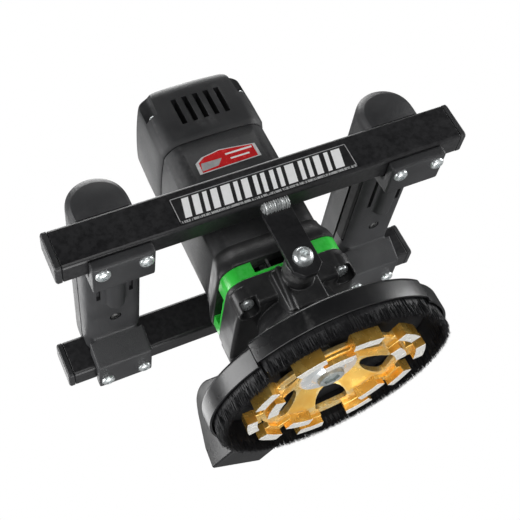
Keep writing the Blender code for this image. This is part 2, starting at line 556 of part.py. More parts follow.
def make_motor_inside(look):
    """The fixed parts round the armature and the spindle."""
    centre, spindle = (0, MOTOR_Y), (0, SPINDLE_Y)
    inner, outer = STATOR_R
    profile = [(inner, STATOR_Z[0]), (outer, STATOR_Z[0]), (outer, STATOR_Z[1]), (inner, STATOR_Z[1])]
    turned("stator_core", profile, look["steel"], centre)
    make_bearing("upper_motor_bearing", centre, CAP_BEARING_Z, SHAFT_BORE_R, 0.013, look["steel"])
    make_bearing("lower_motor_bearing", centre, MOTOR_BEARING_Z, SHAFT_BORE_R, 0.011, look["steel"])
    make_bearing("spindle_top_bearing", spindle, TOP_BEARING_Z, 0.0043, 0.008, look["steel"])
    make_bearing("spindle_main_bearing", spindle, MAIN_BEARING_Z, 0.0088, 0.0175, look["steel"])
    for side, sign in (("left", -1), ("right", 1)):
        near, far = sorted((sign * (COMMUTATOR_R + 0.0004), sign * CARBON_REACH))
        low, high = (near, MOTOR_Y - CARBON_HALF, CARBON_Z[0]), (far, MOTOR_Y + CARBON_HALF, CARBON_Z[1])
        box(f"carbon_brush_{side}", low, high, look["carbon"])
    disc = circle(PLATE_R, (0, GEAR_ROOM_Y), 32)
    plate = prism("bearing_plate", disc, PLATE_Z, HOUSING_TOP, look["steel"])
    seat, above = MOTOR_BEARING_Z[0] - GAP, HOUSING_TOP + 0.01
    cut(plate, prism("plate_motor_seat", circle(0.0113, centre, 24), seat, above, None))
    cut(plate, prism("plate_motor_bore", circle(0.0065, centre, 16), PLATE_Z - 0.01, above, None))
    cut(plate, prism("plate_spindle_seat", circle(0.0083, spindle, 20), PLATE_Z - 0.01, 0.1125, None))


def make_spindle(look):
    """Spindle, output gear, clamping flange and screw, all turning about the spindle axis."""
    centre, pivot = (0, SPINDLE_Y), SPINDLE_PIVOT
    gear_phase = math.pi / 2 + math.pi / GEAR_TEETH
    make_gear("output_gear", GEAR_TEETH, centre, gear_phase, GEAR_BORE_R, look["steel"], pivot)
    steps = [(0.0243, 0.018), (0.034, 0.018), (0.036, 0.012), (0.0605, 0.012), (0.0605, 0.0085)]
    steps += [(0.090, 0.0085), (0.090, 0.008), (0.1035, 0.008), (0.1035, 0.004), (0.1117, 0.004)]
    spindle = stepped("spindle", centre, steps, look["steel"], pivot, 24)
    cut(spindle, prism("spindle_thread", circle(0.0043, centre, 14), 0.01, 0.048, None))
    flange = [(0.0043, 0.0178), (0.026, 0.0178), (0.029, 0.0192), (0.029, 0.0207), (0.0043, 0.0207)]
    turned("clamp_flange", flange, look["zinc"], centre, 24, pivot)
    steps = ((0.0115, 0.0075), (0.0123, 0.0085), (0.0175, 0.0085), (0.0175, 0.0040), (0.044, 0.0040))
    screw = stepped("clamp_screw", centre, steps, look["zinc"], pivot, 20)
    cut(screw, prism("screw_socket", circle(0.0046, centre, 6), 0.005, 0.0155, None))


def block_ring(name, inner, outer, width, turn, pivot):
    """Ring of separate blocks under the cup wheel's rim, for joining to it."""
    shape = bmesh.new()
    low, high = WHEEL_TIP, 0.0105
    sides = ((inner, -width / 2), (outer, -width / 2), (outer, width / 2), (inner, width / 2))
    corners = [(x, y, z) for z in (low, high) for x, y in sides]
    for index in range(SEGMENTS):
        angle = 2 * math.pi * (index + turn) / SEGMENTS
        place = Matrix.Translation((0, SPINDLE_Y, 0)) @ Matrix.Rotation(angle, 4, "Z")
        v = [shape.verts.new(place @ Vector(corner)) for corner in corners]
        for face in ((3, 2, 1, 0), (4, 5, 6, 7), (0, 1, 5, 4), (1, 2, 6, 5), (2, 3, 7, 6), (3, 0, 4, 7)):
            shape.faces.new([v[i] for i in face])
    return finish_mesh(name, shape, None, pivot)


def make_cup_wheel(look):
    """Dished steel cup with openings, and two staggered rings of grinding segments."""
    centre, pivot = (0, SPINDLE_Y), SPINDLE_PIVOT
    thick = 0.003
    under = [(0.0043, HUB_Z), (0.031, HUB_Z), (0.060, 0.0095), (0.0875, 0.0075)]
    over = [(0.0875, 0.0125), (0.064, 0.0145), (0.034, HUB_Z + thick), (0.0043, HUB_Z + thick)]
    wheel = turned("cup_wheel", under + over, look["gold"], centre, 36, pivot)
    join(wheel, block_ring("outer_segments", 0.0745, WHEEL_R - 0.001, 0.013, 0.0, pivot))
    join(wheel, block_ring("inner_segments", 0.0600, 0.0745, 0.011, 0.5, pivot))
    for index in range(WHEEL_OPENINGS):
        angle = 2 * math.pi * (index + 0.25) / WHEEL_OPENINGS
        spot = (centre[0] + OPENING_RING_R * math.cos(angle), centre[1] + OPENING_RING_R * math.sin(angle))
        cut(wheel, prism(f"wheel_opening_{index}", circle(0.009, spot, 8), 0.005, 0.03, None))


def make_hood(look):
    """Round hood with its dust duct, cut back at the front for the movable segment."""
    centre = (0, SPINDLE_Y)
    neck, rise = 0.040, 0.008
    outside = [(HOOD_R, HOOD_BAND_Z), (HOOD_R, 0.033), (HOOD_R - 0.0025, HOOD_TOP)]
    outside.append((0.066, HOOD_TOP + 0.0025))
    collar = [(0.064, HOOD_TOP + rise), (neck, HOOD_TOP + rise), (neck, HOOD_TOP)]
    inside = [(0.062, HOOD_TOP - 0.001), (HOOD_INNER_R, 0.033), (HOOD_INNER_R, HOOD_BAND_Z)]
    hood = turned("dust_hood", outside + collar + inside, look["cast_black"], centre, 48)
    join(hood, duct_solid("duct_body", DUCT_OUTER, DUCT_LOW, DUCT_HIGH))
    wall, roof = HOOD_INNER_R, HOOD_TOP - GAP
    room = [(neck + 0.0002, 0.0), (wall, 0.0), (wall, 0.033), (neck + 0.0002, roof)]
    cut(hood, turned("hood_room", room, None, centre, 48))
    cut(hood, duct_solid("duct_room", DUCT_INNER, DUCT_LOW + DUCT_WALL, DUCT_HIGH - DUCT_WALL))
    cut(hood, duct_bore("duct_mouth", DUCT_BORE_R))
    half = EDGE_HALF_ANGLE + 0.25
    wedge = [(EDGE_SPLIT_R, 0.0), (0.13, 0.0), (0.13, 0.06), (EDGE_SPLIT_R, 0.06)]
    cut(hood, sector("edge_gap", wedge, -90 - half, -90 + half, None, centre, 24))


def make_edge_segment(look):
    """Movable front piece of the hood's band, drawn as lifted a little."""
    outside = [(HOOD_R, HOOD_BAND_Z), (HOOD_R, 0.0325), (HOOD_R - 0.0025, HOOD_TOP - 0.0005)]
    split = [(EDGE_SPLIT_R + 0.0005, HOOD_TOP - 0.0002), (EDGE_SPLIT_R + 0.0005, 0.0333)]
    inside = [(HOOD_INNER_R, 0.033), (HOOD_INNER_R, HOOD_BAND_Z)]
    band = [(r, z + EDGE_LIFT) for r, z in outside + split + inside]
    ends = (-90 - EDGE_HALF_ANGLE, -90 + EDGE_HALF_ANGLE)
    sector("edge_segment", band, *ends, look["cast_black"], (0, SPINDLE_Y), 18)


def make_brushes(look):
    """Bristles as two solid bands: under the movable segment, and round the rest of the hood."""
    centre = (0, SPINDLE_Y)
    bristle = [(BRUSH_IN, 0.0), (BRUSH_OUT, 0.0), (BRUSH_OUT, BRUSH_TOP), (BRUSH_IN, BRUSH_TOP)]
    raised = [(r, z + EDGE_LIFT) for r, z in bristle]
    start, end = -90 - EDGE_HALF_ANGLE, -90 + EDGE_HALF_ANGLE
    sector("edge_brush", raised, start, end, look["bristle"], centre, 15)
    sector("brush_ring", bristle, end + 0.5, start + 359.5, look["bristle"], centre, 45)


def duct_frame():
    """Outward direction of the duct, and the direction across it."""
    out = Vector((-math.sin(DUCT_TURN), math.cos(DUCT_TURN), 0))
    across = Vector((math.cos(DUCT_TURN), math.sin(DUCT_TURN), 0))
    return out, across


def duct_solid(name, outline, low, high):
    """Side outline of the duct as (distance out, height), carried across it under a falling roof."""
    out, across = duct_frame()
    origin, floor = Vector((0, SPINDLE_Y, 0)), outline[0][1]
    rings = []
    for shift in (low, high):
        keep = 1 - DUCT_FALL * (shift - DUCT_LOW) / (DUCT_HIGH - DUCT_LOW)
        start = origin + across * shift
        rings.append([start + out * e + Vector((0, 0, floor + (z - floor) * keep)) for e, z in outline])
    return loft(name, rings, None)


def duct_bore(name, radius, start=0.150, end=0.190):
    """Round bore through the duct's leaning outer end."""
    out, across = duct_frame()
    middle = Vector((0, SPINDLE_Y, 0)) + across * DUCT_BORE_SHIFT + Vector((0, 0, DUCT_BORE_Z))
    rings = []
    for reach in (start, end):
        end_middle = middle + out * reach
        rings.append([end_middle + across * a + Vector((0, 0, b)) for a, b in circle(radius, steps=24)])
    return loft(name, rings, None)


def main():
    clear_scene()
    look = looks()
    make_frame(look)
    make_grips(look)
    make_motor_housing(look)
    make_rear_cap(look)
    make_bell(look)
    make_vent_ring(look)
    make_gear_housing(look)
    make_armature(look)
    make_motor_inside(look)
    make_spindle(look)
    make_cup_wheel(look)
    make_hood(look)
    make_edge_segment(look)
    make_brushes(look)


main()
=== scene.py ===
import json
import math
import random

import bmesh
import bpy
from mathutils import Matrix, Vector


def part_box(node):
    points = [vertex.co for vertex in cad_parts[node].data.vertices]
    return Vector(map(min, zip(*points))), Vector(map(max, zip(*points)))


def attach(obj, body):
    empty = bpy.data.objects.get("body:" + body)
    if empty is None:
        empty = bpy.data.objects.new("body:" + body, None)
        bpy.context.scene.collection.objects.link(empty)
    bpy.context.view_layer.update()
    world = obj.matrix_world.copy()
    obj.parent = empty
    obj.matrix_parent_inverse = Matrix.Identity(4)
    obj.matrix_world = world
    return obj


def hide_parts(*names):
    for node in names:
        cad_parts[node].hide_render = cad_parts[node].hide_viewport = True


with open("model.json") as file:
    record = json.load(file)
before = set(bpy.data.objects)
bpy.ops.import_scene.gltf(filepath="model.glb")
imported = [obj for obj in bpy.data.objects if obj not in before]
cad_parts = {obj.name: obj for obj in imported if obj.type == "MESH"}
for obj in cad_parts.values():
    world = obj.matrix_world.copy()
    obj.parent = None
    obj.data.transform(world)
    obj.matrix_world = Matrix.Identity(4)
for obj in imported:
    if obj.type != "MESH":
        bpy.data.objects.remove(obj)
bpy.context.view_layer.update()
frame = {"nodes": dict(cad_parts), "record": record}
NODES = frame["nodes"]

# Places: some read from the frame, others given as numbers. Metres, +Z up.


def low(node):
    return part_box(node)[0]


def high(node):
    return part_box(node)[1]


def middle(node):
    return (low(node) + high(node)) / 2


def half_width(node):
    return (high(node).x - low(node).x) / 2


WHEEL = middle("cup_wheel")
WHEEL_R = half_width("cup_wheel")
WHEEL_TIP = low("cup_wheel").z
SPINDLE = Vector((WHEEL.x, WHEEL.y, 0))
MOTOR = Vector((middle("motor_housing").x, middle("motor_housing").y, 0))
RAIL_LOW, RAIL_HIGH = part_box("front_rail")
HOOD_TOP_FACE = 0.0360
EDGE_HALF = 43.5
DUCT_TURN, DUCT_FALL, DUCT_LOW, DUCT_HIGH = math.radians(35), 0.45, -0.003, 0.066
VENT_PITCH, VENT_HALF, VENT_LOW, VENT_HIGH = 0.0115, 0.0027, 0.297, 0.329
NOTCH_SPOT, NOTCH_LOW = 0.0485, 0.319
CASE_RISE, BLOCK_REACH = 0.0437, 0.0480
GRIP_FLOOR = 0.1720


# Materials


def map_range(tree, source, start, end, to_start, to_end):
    node = tree.nodes.new("ShaderNodeMapRange")
    limits = {"From Min": start, "From Max": end, "To Min": to_start, "To Max": to_end}
    for name, value in limits.items():
        node.inputs[name].default_value = value
    tree.links.new(source, node.inputs["Value"])
    return node


class Look:
    """A node material under construction: each method adds one layer."""

    def __init__(self, name, metallic=0.0, coat=0.0, specular=0.5):
        self.material = bpy.data.materials.new(name)
        self.material.use_nodes = True
        self.tree = self.material.node_tree
        self.shader = self.tree.nodes["Principled BSDF"]
        self.shader.inputs["Metallic"].default_value = metallic
        self.shader.inputs["Coat Weight"].default_value = coat
        self.shader.inputs["Coat Roughness"].default_value = 0.15
        self.shader.inputs["Specular IOR Level"].default_value = specular
        self.place = self.add("ShaderNodeTexCoord").outputs["Object"]
        self.colour = None
        self.bump = None

    def add(self, kind, **values):
        node = self.tree.nodes.new(kind)
        for name, value in values.items():
            setattr(node, name, value)
        return node

    def link(self, source, target):
        self.tree.links.new(source, target)

    def noise(self, size, detail=3.0, roughness=0.55, stretch=None):
        """Noise whose features are about `size` metres across, stretched by a factor for each axis."""
        node = self.add("ShaderNodeTexNoise")
        node.inputs["Scale"].default_value = 1 / size
        node.inputs["Detail"].default_value = detail
        node.inputs["Roughness"].default_value = roughness
        place = self.place
        if stretch:
            mapping = self.add("ShaderNodeMapping")
            mapping.inputs["Scale"].default_value = stretch
            self.link(place, mapping.inputs["Vector"])
            place = mapping.outputs["Vector"]
        self.link(place, node.inputs["Vector"])
        return node.outputs["Fac"]

    def ranged(self, source, start, end, to_start=0.0, to_end=1.0):
        return map_range(self.tree, source, start, end, to_start, to_end).outputs["Result"]

    def product(self, one, other):
        node = self.add("ShaderNodeMath", operation="MULTIPLY")
        self.link(one, node.inputs[0])
        self.link(other, node.inputs[1])
        return node.outputs[0]

    def mixed(self, factor, first, second):
        """A colour between two, each a colour or a socket."""
        node = self.add("ShaderNodeMix", data_type="RGBA")
        self.link(factor, node.inputs["Factor"])
        for socket, value in ((node.inputs[6], first), (node.inputs[7], second)):
            if isinstance(value, tuple):
                socket.default_value = (*value, 1)
            else:
                self.link(value, socket)
        return node.outputs[2]

    def patches(self, first, second, size, rough, spread, stretch=None):
        """Base colour and roughness wander together over patches."""
        cloud = self.ranged(self.noise(size, 5.0, stretch=stretch), 0.3, 0.7)
        self.colour = self.mixed(cloud, first, second)
        shine = self.ranged(cloud, 0, 1, rough - spread, rough + spread)
        self.link(shine, self.shader.inputs["Roughness"])
        return self

    def layer(self, factor, colour):
        self.colour = self.mixed(factor, self.colour, colour)
        return self

    def worn_edges(self, colour, start=0.52, end=0.60, share=0.6):
        """Lighter, rubbed edges, broken up by noise."""
        sharp = self.ranged(self.add("ShaderNodeNewGeometry").outputs["Pointiness"], start, end, 0, share)
        broken = self.ranged(self.noise(0.004, 4.0), 0.35, 0.6)
        return self.layer(self.product(sharp, broken), colour)

    def dust(self, colour, share=0.35, size=0.012):
        """Fine pale dust that lies in blotches."""
        blotch = self.ranged(self.noise(size, 8.0, 0.7), 0.52, 0.72, 0, share)
        return self.layer(blotch, colour)

    def grain(self, size, height, strength=1.0, detail=2.0, stretch=None):
        """Fine relief from noise, on top of any made before."""
        node = self.add("ShaderNodeBump")
        node.inputs["Strength"].default_value = strength
        node.inputs["Distance"].default_value = height
        self.link(self.noise(size, detail, stretch=stretch), node.inputs["Height"])
        if self.bump:
            self.link(self.bump, node.inputs["Normal"])
        self.bump = node.outputs["Normal"]
        return self

    def done(self):
        self.link(self.colour, self.shader.inputs["Base Color"])
        if self.bump:
            self.link(self.bump, self.shader.inputs["Normal"])
        return self.material


def powder_coat(name, tone=0.0095):
    look = Look(name, coat=0.08, specular=0.32)
    look.patches((tone, tone, tone * 1.1), (tone * 1.7, tone * 1.7, tone * 1.8), 0.03, 0.34, 0.06)
    look.worn_edges((0.10, 0.10, 0.105), share=0.45).dust((0.05, 0.05, 0.049), 0.05)
    return look.grain(0.0009, 0.00012, 0.6).grain(0.006, 0.0002, 0.15).done()


def moulded_plastic(name, tone=0.024, rough=0.5):
    look = Look(name, specular=0.32)
    look.patches((tone, tone * 1.02, tone * 1.08), (tone * 1.6, tone * 1.62, tone * 1.7), 0.04, rough, 0.06)
    look.worn_edges((0.09, 0.09, 0.092), 0.53, 0.62, 0.5).dust((0.11, 0.11, 0.105), 0.10)
    return look.grain(0.0007, 0.00022, 0.85, 1.0).grain(0.0025, 0.0002, 0.2).done()


def cast_coat(name):
    look = Look(name, coat=0.05, specular=0.36)
    look.patches((0.015, 0.0152, 0.016), (0.026, 0.0262, 0.027), 0.02, 0.38, 0.08)
    look.worn_edges((0.16, 0.16, 0.16), 0.53, 0.60, 0.55).dust((0.13, 0.13, 0.125), 0.14)
    return look.grain(0.0016, 0.0003, 0.55, 3.0).grain(0.012, 0.0005, 0.2).done()


def hood_plastic(name):
    look = Look(name, coat=0.10, specular=0.45)
    look.patches((0.006, 0.0062, 0.007), (0.011, 0.0112, 0.012), 0.05, 0.30, 0.06)
    look.worn_edges((0.09, 0.09, 0.09), 0.53, 0.62, 0.5).dust((0.12, 0.12, 0.115), 0.10)
    return look.grain(0.0011, 0.00016, 0.6).grain(0.02, 0.0006, 0.15).done()


def green_plastic(name):
    look = Look(name, coat=0.5)
    look.patches((0.018, 0.50, 0.030), (0.030, 0.62, 0.050), 0.03, 0.30, 0.05)
    look.worn_edges((0.20, 0.85, 0.25), share=0.5).dust((0.10, 0.35, 0.10), 0.12)
    return look.grain(0.0012, 0.0001, 0.3).done()


def zinc(name):
    look = Look(name, metallic=0.75)
    look.patches((0.58, 0.62, 0.63), (0.80, 0.84, 0.84), 0.003, 0.30, 0.08)
    look.worn_edges((0.92, 0.94, 0.94), 0.52, 0.58, 0.8).dust((0.25, 0.26, 0.26), 0.15, 0.004)
    return look.grain(0.0007, 0.00004, 0.3, 3.0).done()


def steel_look(name, tones=((0.70, 0.74, 0.75), (0.90, 0.92, 0.94)), rough=0.22):
    look = Look(name, metallic=0.55)
    look.patches(*tones, 0.012, rough, 0.07)
    look.worn_edges((0.9, 0.92, 0.92), 0.52, 0.58, 0.7).dust((0.2, 0.2, 0.19), 0.18, 0.006)
    return look.grain(0.001, 0.00005, 0.4).done()


def wheel_gold(name):
    look = Look(name, metallic=0.65, coat=0.25)
    look.patches((0.95, 0.52, 0.08), (1.0, 0.66, 0.15), 0.018, 0.24, 0.07)
    look.dust((0.60, 0.28, 0.03), 0.25, 0.012).worn_edges((1.0, 0.84, 0.45), 0.52, 0.60, 0.7)
    return look.grain(0.0016, 0.00010, 0.45, 4.0).grain(0.010, 0.0004, 0.15).done()


def segment_look(name, tip):
    """Gold lacquer on the sides, ground off to bare metal and diamond grit at the working face."""
    look = Look(name, coat=0.2)
    look.patches((0.84, 0.44, 0.06), (1.0, 0.66, 0.17), 0.010, 0.26, 0.07)
    separate = look.add("ShaderNodeSeparateXYZ")
    look.link(look.place, separate.inputs[0])
    ragged = look.noise(0.003, 5.0)
    lift = look.add("ShaderNodeMath", operation="MULTIPLY_ADD")
    look.link(ragged, lift.inputs[0])
    lift.inputs[1].default_value = -0.0010
    look.link(separate.outputs["Z"], lift.inputs[2])
    ground = look.ranged(lift.outputs[0], tip - 0.0002, tip + 0.0001, 1, 0)
    grit = look.ranged(look.noise(0.0009, 3.0), 0.35, 0.65)
    silver = look.mixed(grit, (0.66, 0.64, 0.58), (0.92, 0.91, 0.87))
    look.colour = look.mixed(ground, look.colour, silver)
    metal = look.ranged(ground, 0, 1, 0.65, 0.25)
    look.link(metal, look.shader.inputs["Metallic"])
    return look.grain(0.0009, 0.00022, 0.7, 3.0).done()


def bristle_look(name):
    look = Look(name, specular=0.3)
    look.patches((0.004, 0.004, 0.005), (0.020, 0.020, 0.022), 0.0012, 0.5, 0.12, stretch=(1, 1, 0.15))
    look.dust((0.09, 0.09, 0.088), 0.15, 0.006)
    return look.grain(0.0006, 0.0002, 0.8, 1.0, (1, 1, 0.1)).done()


def plain_metal(name, first, second, rough=0.35, size=0.006, metallic=1.0):
    look = Look(name, metallic=metallic).patches(first, second, size, rough, 0.08)
    look.worn_edges(tuple(min(1.0, c * 1.5) for c in second), share=0.5)
    return look.grain(0.0012, 0.0001, 0.5, 3.0).done()


def printed(name, first, second, rough=0.35, scuffs=0.25):
    """Ink on film: nearly even, with faint scuffs."""
    look = Look(name, coat=0.3).patches(first, second, 0.006, rough, 0.05)
    look.dust(tuple(c * 0.6 for c in first), scuffs, 0.004)
    return look.grain(0.0014, 0.00004, 0.4).done()


def hatched(name):
    look = Look(name, metallic=0.5).patches((0.55, 0.56, 0.56), (0.80, 0.81, 0.81), 0.003, 0.35, 0.08)
    stripes = look.noise(0.0011, 1.0, stretch=(1, 1, 0.2))
    look.layer(look.ranged(stripes, 0.54, 0.60), (0.04, 0.04, 0.042))
    return look.grain(0.0008, 0.0001, 0.5).done()


def make_looks():
    return {
        "rail_paint": powder_coat("rail_powder_coat"),
        "plug_plastic": moulded_plastic("plug_plastic", 0.022, 0.42),
        "grip_plastic": moulded_plastic("grip_plastic", 0.027, 0.47),
        "zinc_plate": zinc("zinc_plate"),
        "switch_rubber": moulded_plastic("switch_rubber", 0.012, 0.7),
        "motor_plastic": moulded_plastic("motor_plastic", 0.022, 0.48),
        "cast_black": cast_coat("cast_black"),
        "hood_plastic": hood_plastic("hood_plastic"),
        "green_plastic": green_plastic("green_plastic"),
        "steel": steel_look("turned_steel"),
        "steel_dark": steel_look("screw_steel", ((0.22, 0.25, 0.25), (0.45, 0.49, 0.48)), 0.35),
        "copper": plain_metal("copper", (0.55, 0.24, 0.12), (0.75, 0.38, 0.22)),
        "carbon": plain_metal("carbon", (0.02, 0.02, 0.02), (0.045, 0.045, 0.045), 0.6, 0.004, 0.0),
        "wheel_gold": wheel_gold("wheel_gold"),
        "segment": segment_look("wheel_segment", WHEEL_TIP),
        "bristle": bristle_look("bristle"),
        "weld": plain_metal("weld", (0.40, 0.42, 0.42), (0.80, 0.82, 0.82), 0.3, 0.0025, 0.45),
        # Near-black metal: painted shade of a sunk screw hole, laid on the screw heads inside it.
        "socket": plain_metal("dark_recess", (0.05, 0.05, 0.05), (0.12, 0.12, 0.12), 0.5, 0.003),
        "label_black": printed("label_black", (0.012, 0.012, 0.013), (0.022, 0.022, 0.023)),
        "label_white": printed("label_white", (0.93, 0.94, 0.94), (0.98, 0.98, 0.98), 0.4, 0.08),
        "label_grey": printed("label_grey", (0.34, 0.35, 0.36), (0.5, 0.5, 0.5)),
        "label_hatch": hatched("label_hatching"),
        "sticker_red": printed("sticker_red", (0.60, 0.015, 0.02), (0.75, 0.03, 0.03), 0.25),
        "sticker_silver": printed("sticker_silver", (0.62, 0.63, 0.64), (0.8, 0.8, 0.8), 0.25),
    }


# Meshes


def placed(name, data):
    thing = bpy.data.objects.new(name, data)
    bpy.context.scene.collection.objects.link(thing)
    return thing


def new_mesh_raw(name, points, faces):
    mesh = bpy.data.meshes.new(name)
    mesh.from_pydata([tuple(point) for point in points], [], faces)
    return placed(name, mesh)


def new_mesh(name, points, faces):
    """A mesh with merged points and outward faces."""
    thing = new_mesh_raw(name, points, faces)
    mesh = thing.data
    mesh.validate()
    work = bmesh.new()
    work.from_mesh(mesh)
    bmesh.ops.remove_doubles(work, verts=work.verts, dist=1e-7)
    bmesh.ops.recalc_face_normals(work, faces=work.faces)
    work.to_mesh(mesh)
    work.free()
    return thing


def smooth(thing, angle=32):
    mesh = thing.data
    mesh.polygons.foreach_set("use_smooth", [True] * len(mesh.polygons))
    mesh.set_sharp_from_angle(angle=math.radians(angle))
    return thing


def loft(name, rings):
    """A closed skin through rings that have equally many points."""
    count = len(rings[0])
    points = [point for ring in rings for point in ring]
    faces = []
    for level in range(len(rings) - 1):
        for j in range(count):
            a, b = level * count + j, level * count + (j + 1) % count
            faces.append((a, b, b + count, a + count))
    faces.append(tuple(range(count))[::-1])
    faces.append(tuple(range(len(points) - count, len(points))))
    return new_mesh(name, points, faces)


def lathe(name, profile, centre=(0, 0, 0), steps=96, axis="Z", start=0.0, end=360.0):
    """Turns an open or closed (radius, height) profile about an axis through centre."""
    whole = abs(end - start) >= 360
    turns = steps if whole else steps + 1
    points = []
    for i in range(turns):
        angle = math.radians(start + (end - start) * i / steps)
        for radius, height in profile:
            points.append((radius * math.cos(angle), radius * math.sin(angle), height))
    size = len(profile)
    faces = []
    for i in range(steps):
        k = (i + 1) % turns
        for j in range(size):
            n = (j + 1) % size
            faces.append((i * size + j, k * size + j, k * size + n, i * size + n))
    if not whole:
        faces.append(tuple(range(size)))
        faces.append(tuple(range((turns - 1) * size, turns * size))[::-1])
    thing = new_mesh(name, points, faces)
    turn = {"Z": Matrix(), "Y": Matrix.Rotation(math.radians(90), 4, "X")}[axis]
    thing.data.transform(Matrix.Translation(centre) @ turn)
    return thing


def rectangle(x0, y0, x1, y1):
    return [(x0, y0), (x1, y0), (x1, y1), (x0, y1)]


def slab(name, outline, bottom, top):
    """A prism on an outline of (x, y) points."""
    return loft(name, [[(x, y, z) for x, y in outline] for z in (bottom, top)])


def block(name, lowest, highest):
    (x0, y0, z0), (x1, y1, z1) = lowest, highest
    return slab(name, rectangle(x0, y0, x1, y1), z0, z1)


def rod(name, radius, start, end, steps=48):
    """A round bar between two points."""
    start, end = Vector(start), Vector(end)
    length = (end - start).length
    thing = lathe(name, rectangle(0, 0, radius, length), steps=steps)
    aim = (end - start).to_track_quat("Z", "Y").to_matrix().to_4x4()
    thing.data.transform(Matrix.Translation(start) @ aim)
    return thing


def baked(thing):
    """Applies the modifiers of a piece made here."""
    bpy.context.view_layer.update()
    done = thing.evaluated_get(bpy.context.evaluated_depsgraph_get())
    thing.data = bpy.data.meshes.new_from_object(done)
    thing.modifiers.clear()
    return thing


def cut(thing, *cutters, operation="DIFFERENCE"):
    for cutter in cutters:
        step = thing.modifiers.new("cut", "BOOLEAN")
        step.operation, step.object, step.solver = operation, cutter, "EXACT"
        baked(thing)
        bpy.data.objects.remove(cutter)
    return thing


def added(thing, *shapes):
    return cut(thing, *shapes, operation="UNION")


def melted(thing, voxel, passes):
    """Turns united shapes into one skin with soft corners."""
    skin = thing.modifiers.new("skin", "REMESH")
    skin.mode, skin.voxel_size, skin.use_smooth_shade = "VOXEL", voxel, True
    relax = thing.modifiers.new("relax", "SMOOTH")
    relax.factor, relax.iterations = 0.5, passes
    return baked(thing)


def joined(name, things):
    """One mesh from several."""
    work = bmesh.new()
    for thing in things:
        work.from_mesh(thing.data)
        bpy.data.objects.remove(thing)
    mesh = bpy.data.meshes.new(name)
    work.to_mesh(mesh)
    work.free()
    return placed(name, mesh)


def bevelled(thing, width, segments=3, angle=35):
    step = thing.modifiers.new("edges", "BEVEL")
    step.width, step.segments = width, segments
    step.limit_method, step.angle_limit = "ANGLE", math.radians(angle)
    step.harden_normals = True
    return thing


def softened(node, width, segments=3):
    """Rounds the edges of a CAD node with modifiers only."""
    thing = NODES[node]
    weld = thing.modifiers.new("weld", "WELD")
    weld.merge_threshold = 1e-5
    bevelled(thing, width, segments)
    return thing


def fit(thing, look, body, slot, *nodes):
    """Dresses a finished piece and hangs it on its body, in place of CAD nodes if any are named."""
    thing.data.materials.clear()
    thing.data.materials.append(look)
    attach(thing, body)
    if nodes:
        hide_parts(*nodes)
    return thing


def dress(node, look):
    thing = NODES[node]
    if not thing.material_slots:
        thing.data.materials.append(look)
    for place in thing.material_slots:
        place.link = "OBJECT"
        place.material = look


# Fasteners

DOWN = (0, 0, -1)
FOOT_HEAD, GRIP_HEAD, CASE_HEAD, BOLT_HEAD = 0.0042, 0.0030, 0.0046, 0.0078
CASE_SEAT = 0.0042


def dome(radius, height, flat=0.25, steps=7):
    """Profile of a pan or button head, from its rim to its crown."""
    points = []
    for i in range(steps + 1):
        angle = math.pi / 2 * i / steps
        points.append((radius * math.cos(angle) ** 0.7, height * (flat + (1 - flat) * math.sin(angle))))
    points[-1] = (0.0, height)
    return points


def cross_cutter(radius, depth, crown):
    arms = []
    for turn in (0, 90):
        arm = block("arm", (-radius, -radius * 0.22, crown - depth), (radius, radius * 0.22, crown + 0.001))
        arm.data.transform(Matrix.Rotation(math.radians(turn), 4, "Z"))
        arms.append(arm)
    return arms


def star_cutter(radius, depth, crown, points=6):
    outline = []
    for i in range(points * 8):
        angle = math.tau * i / (points * 8)
        reach = radius * (0.86 + 0.14 * math.cos(points * angle))
        outline.append((reach * math.cos(angle), reach * math.sin(angle)))
    return slab("star", outline, crown - depth, crown + 0.001)


def head(name, radius, height, recess="cross"):
    """A screw head with its crown up and its seat at z = 0."""
    profile = [(0, 0), (radius, 0)] + dome(radius, height)
    thing = lathe(name, profile, steps=48)
    if recess == "cross":
        cut(thing, *cross_cutter(radius * 0.55, height * 0.55, height))
    else:
        cut(thing, star_cutter(radius * 0.48, height * 0.6, height))
    return smooth(thing, 40)


def place_head(name, radius, height, seat, facing, looks, body, nodes=(), recess="cross", turn=0.0):
    thing = head(name, radius, height, recess)
    aim = Vector(facing).to_track_quat("Z", "Y").to_matrix().to_4x4()
    thing.data.transform(Matrix.Translation(seat) @ aim @ Matrix.Rotation(math.radians(turn), 4, "Z"))
    return fit(thing, looks["zinc_plate"], body, "zinc_plate", *nodes)


def make_screws(looks):
    dice = random.Random(4)
    for node in sorted(NODES):
        lowest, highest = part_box(node)
        centre, name = middle(node), node + "_head"
        turn = dice.uniform(0, 90)
        if "foot_screw" in node or node.endswith("grip_screw"):
            radius = half_width(node)
            height = FOOT_HEAD if "foot" in node else GRIP_HEAD
            seat = (centre.x, centre.y, lowest.z + height)
            screw = place_head(name, radius, height, seat, DOWN, looks, "machine", (node,), turn=turn)
            # Grip screw heads sit in sunk holes: they get painted shade for the dark of the hole, not zinc.
            if "foot" not in node:
                screw.data.materials[0] = looks["socket"]
        elif "case_screw" in node:
            radius = half_width(node) + 0.0008
            seat = (centre.x, centre.y, lowest.z + CASE_SEAT)
            place_head(name, radius, CASE_HEAD, seat, DOWN, looks, "machine", (node,), turn=turn)
    for node, facing in (("front_bracket_bolt", -1), ("rear_bracket_bolt", 1)):
        lowest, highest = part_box(node)
        centre = middle(node)
        radius, height = half_width(node), BOLT_HEAD
        tip = lowest.y if facing < 0 else highest.y
        seat = (centre.x, tip - facing * height, centre.z)
        name, aim = node + "_head", (0, facing, 0)
        place_head(name, radius, height, seat, aim, looks, "machine", (node,), "star", 12)


# Brush

BRUSH_DEPTH = 0.0060


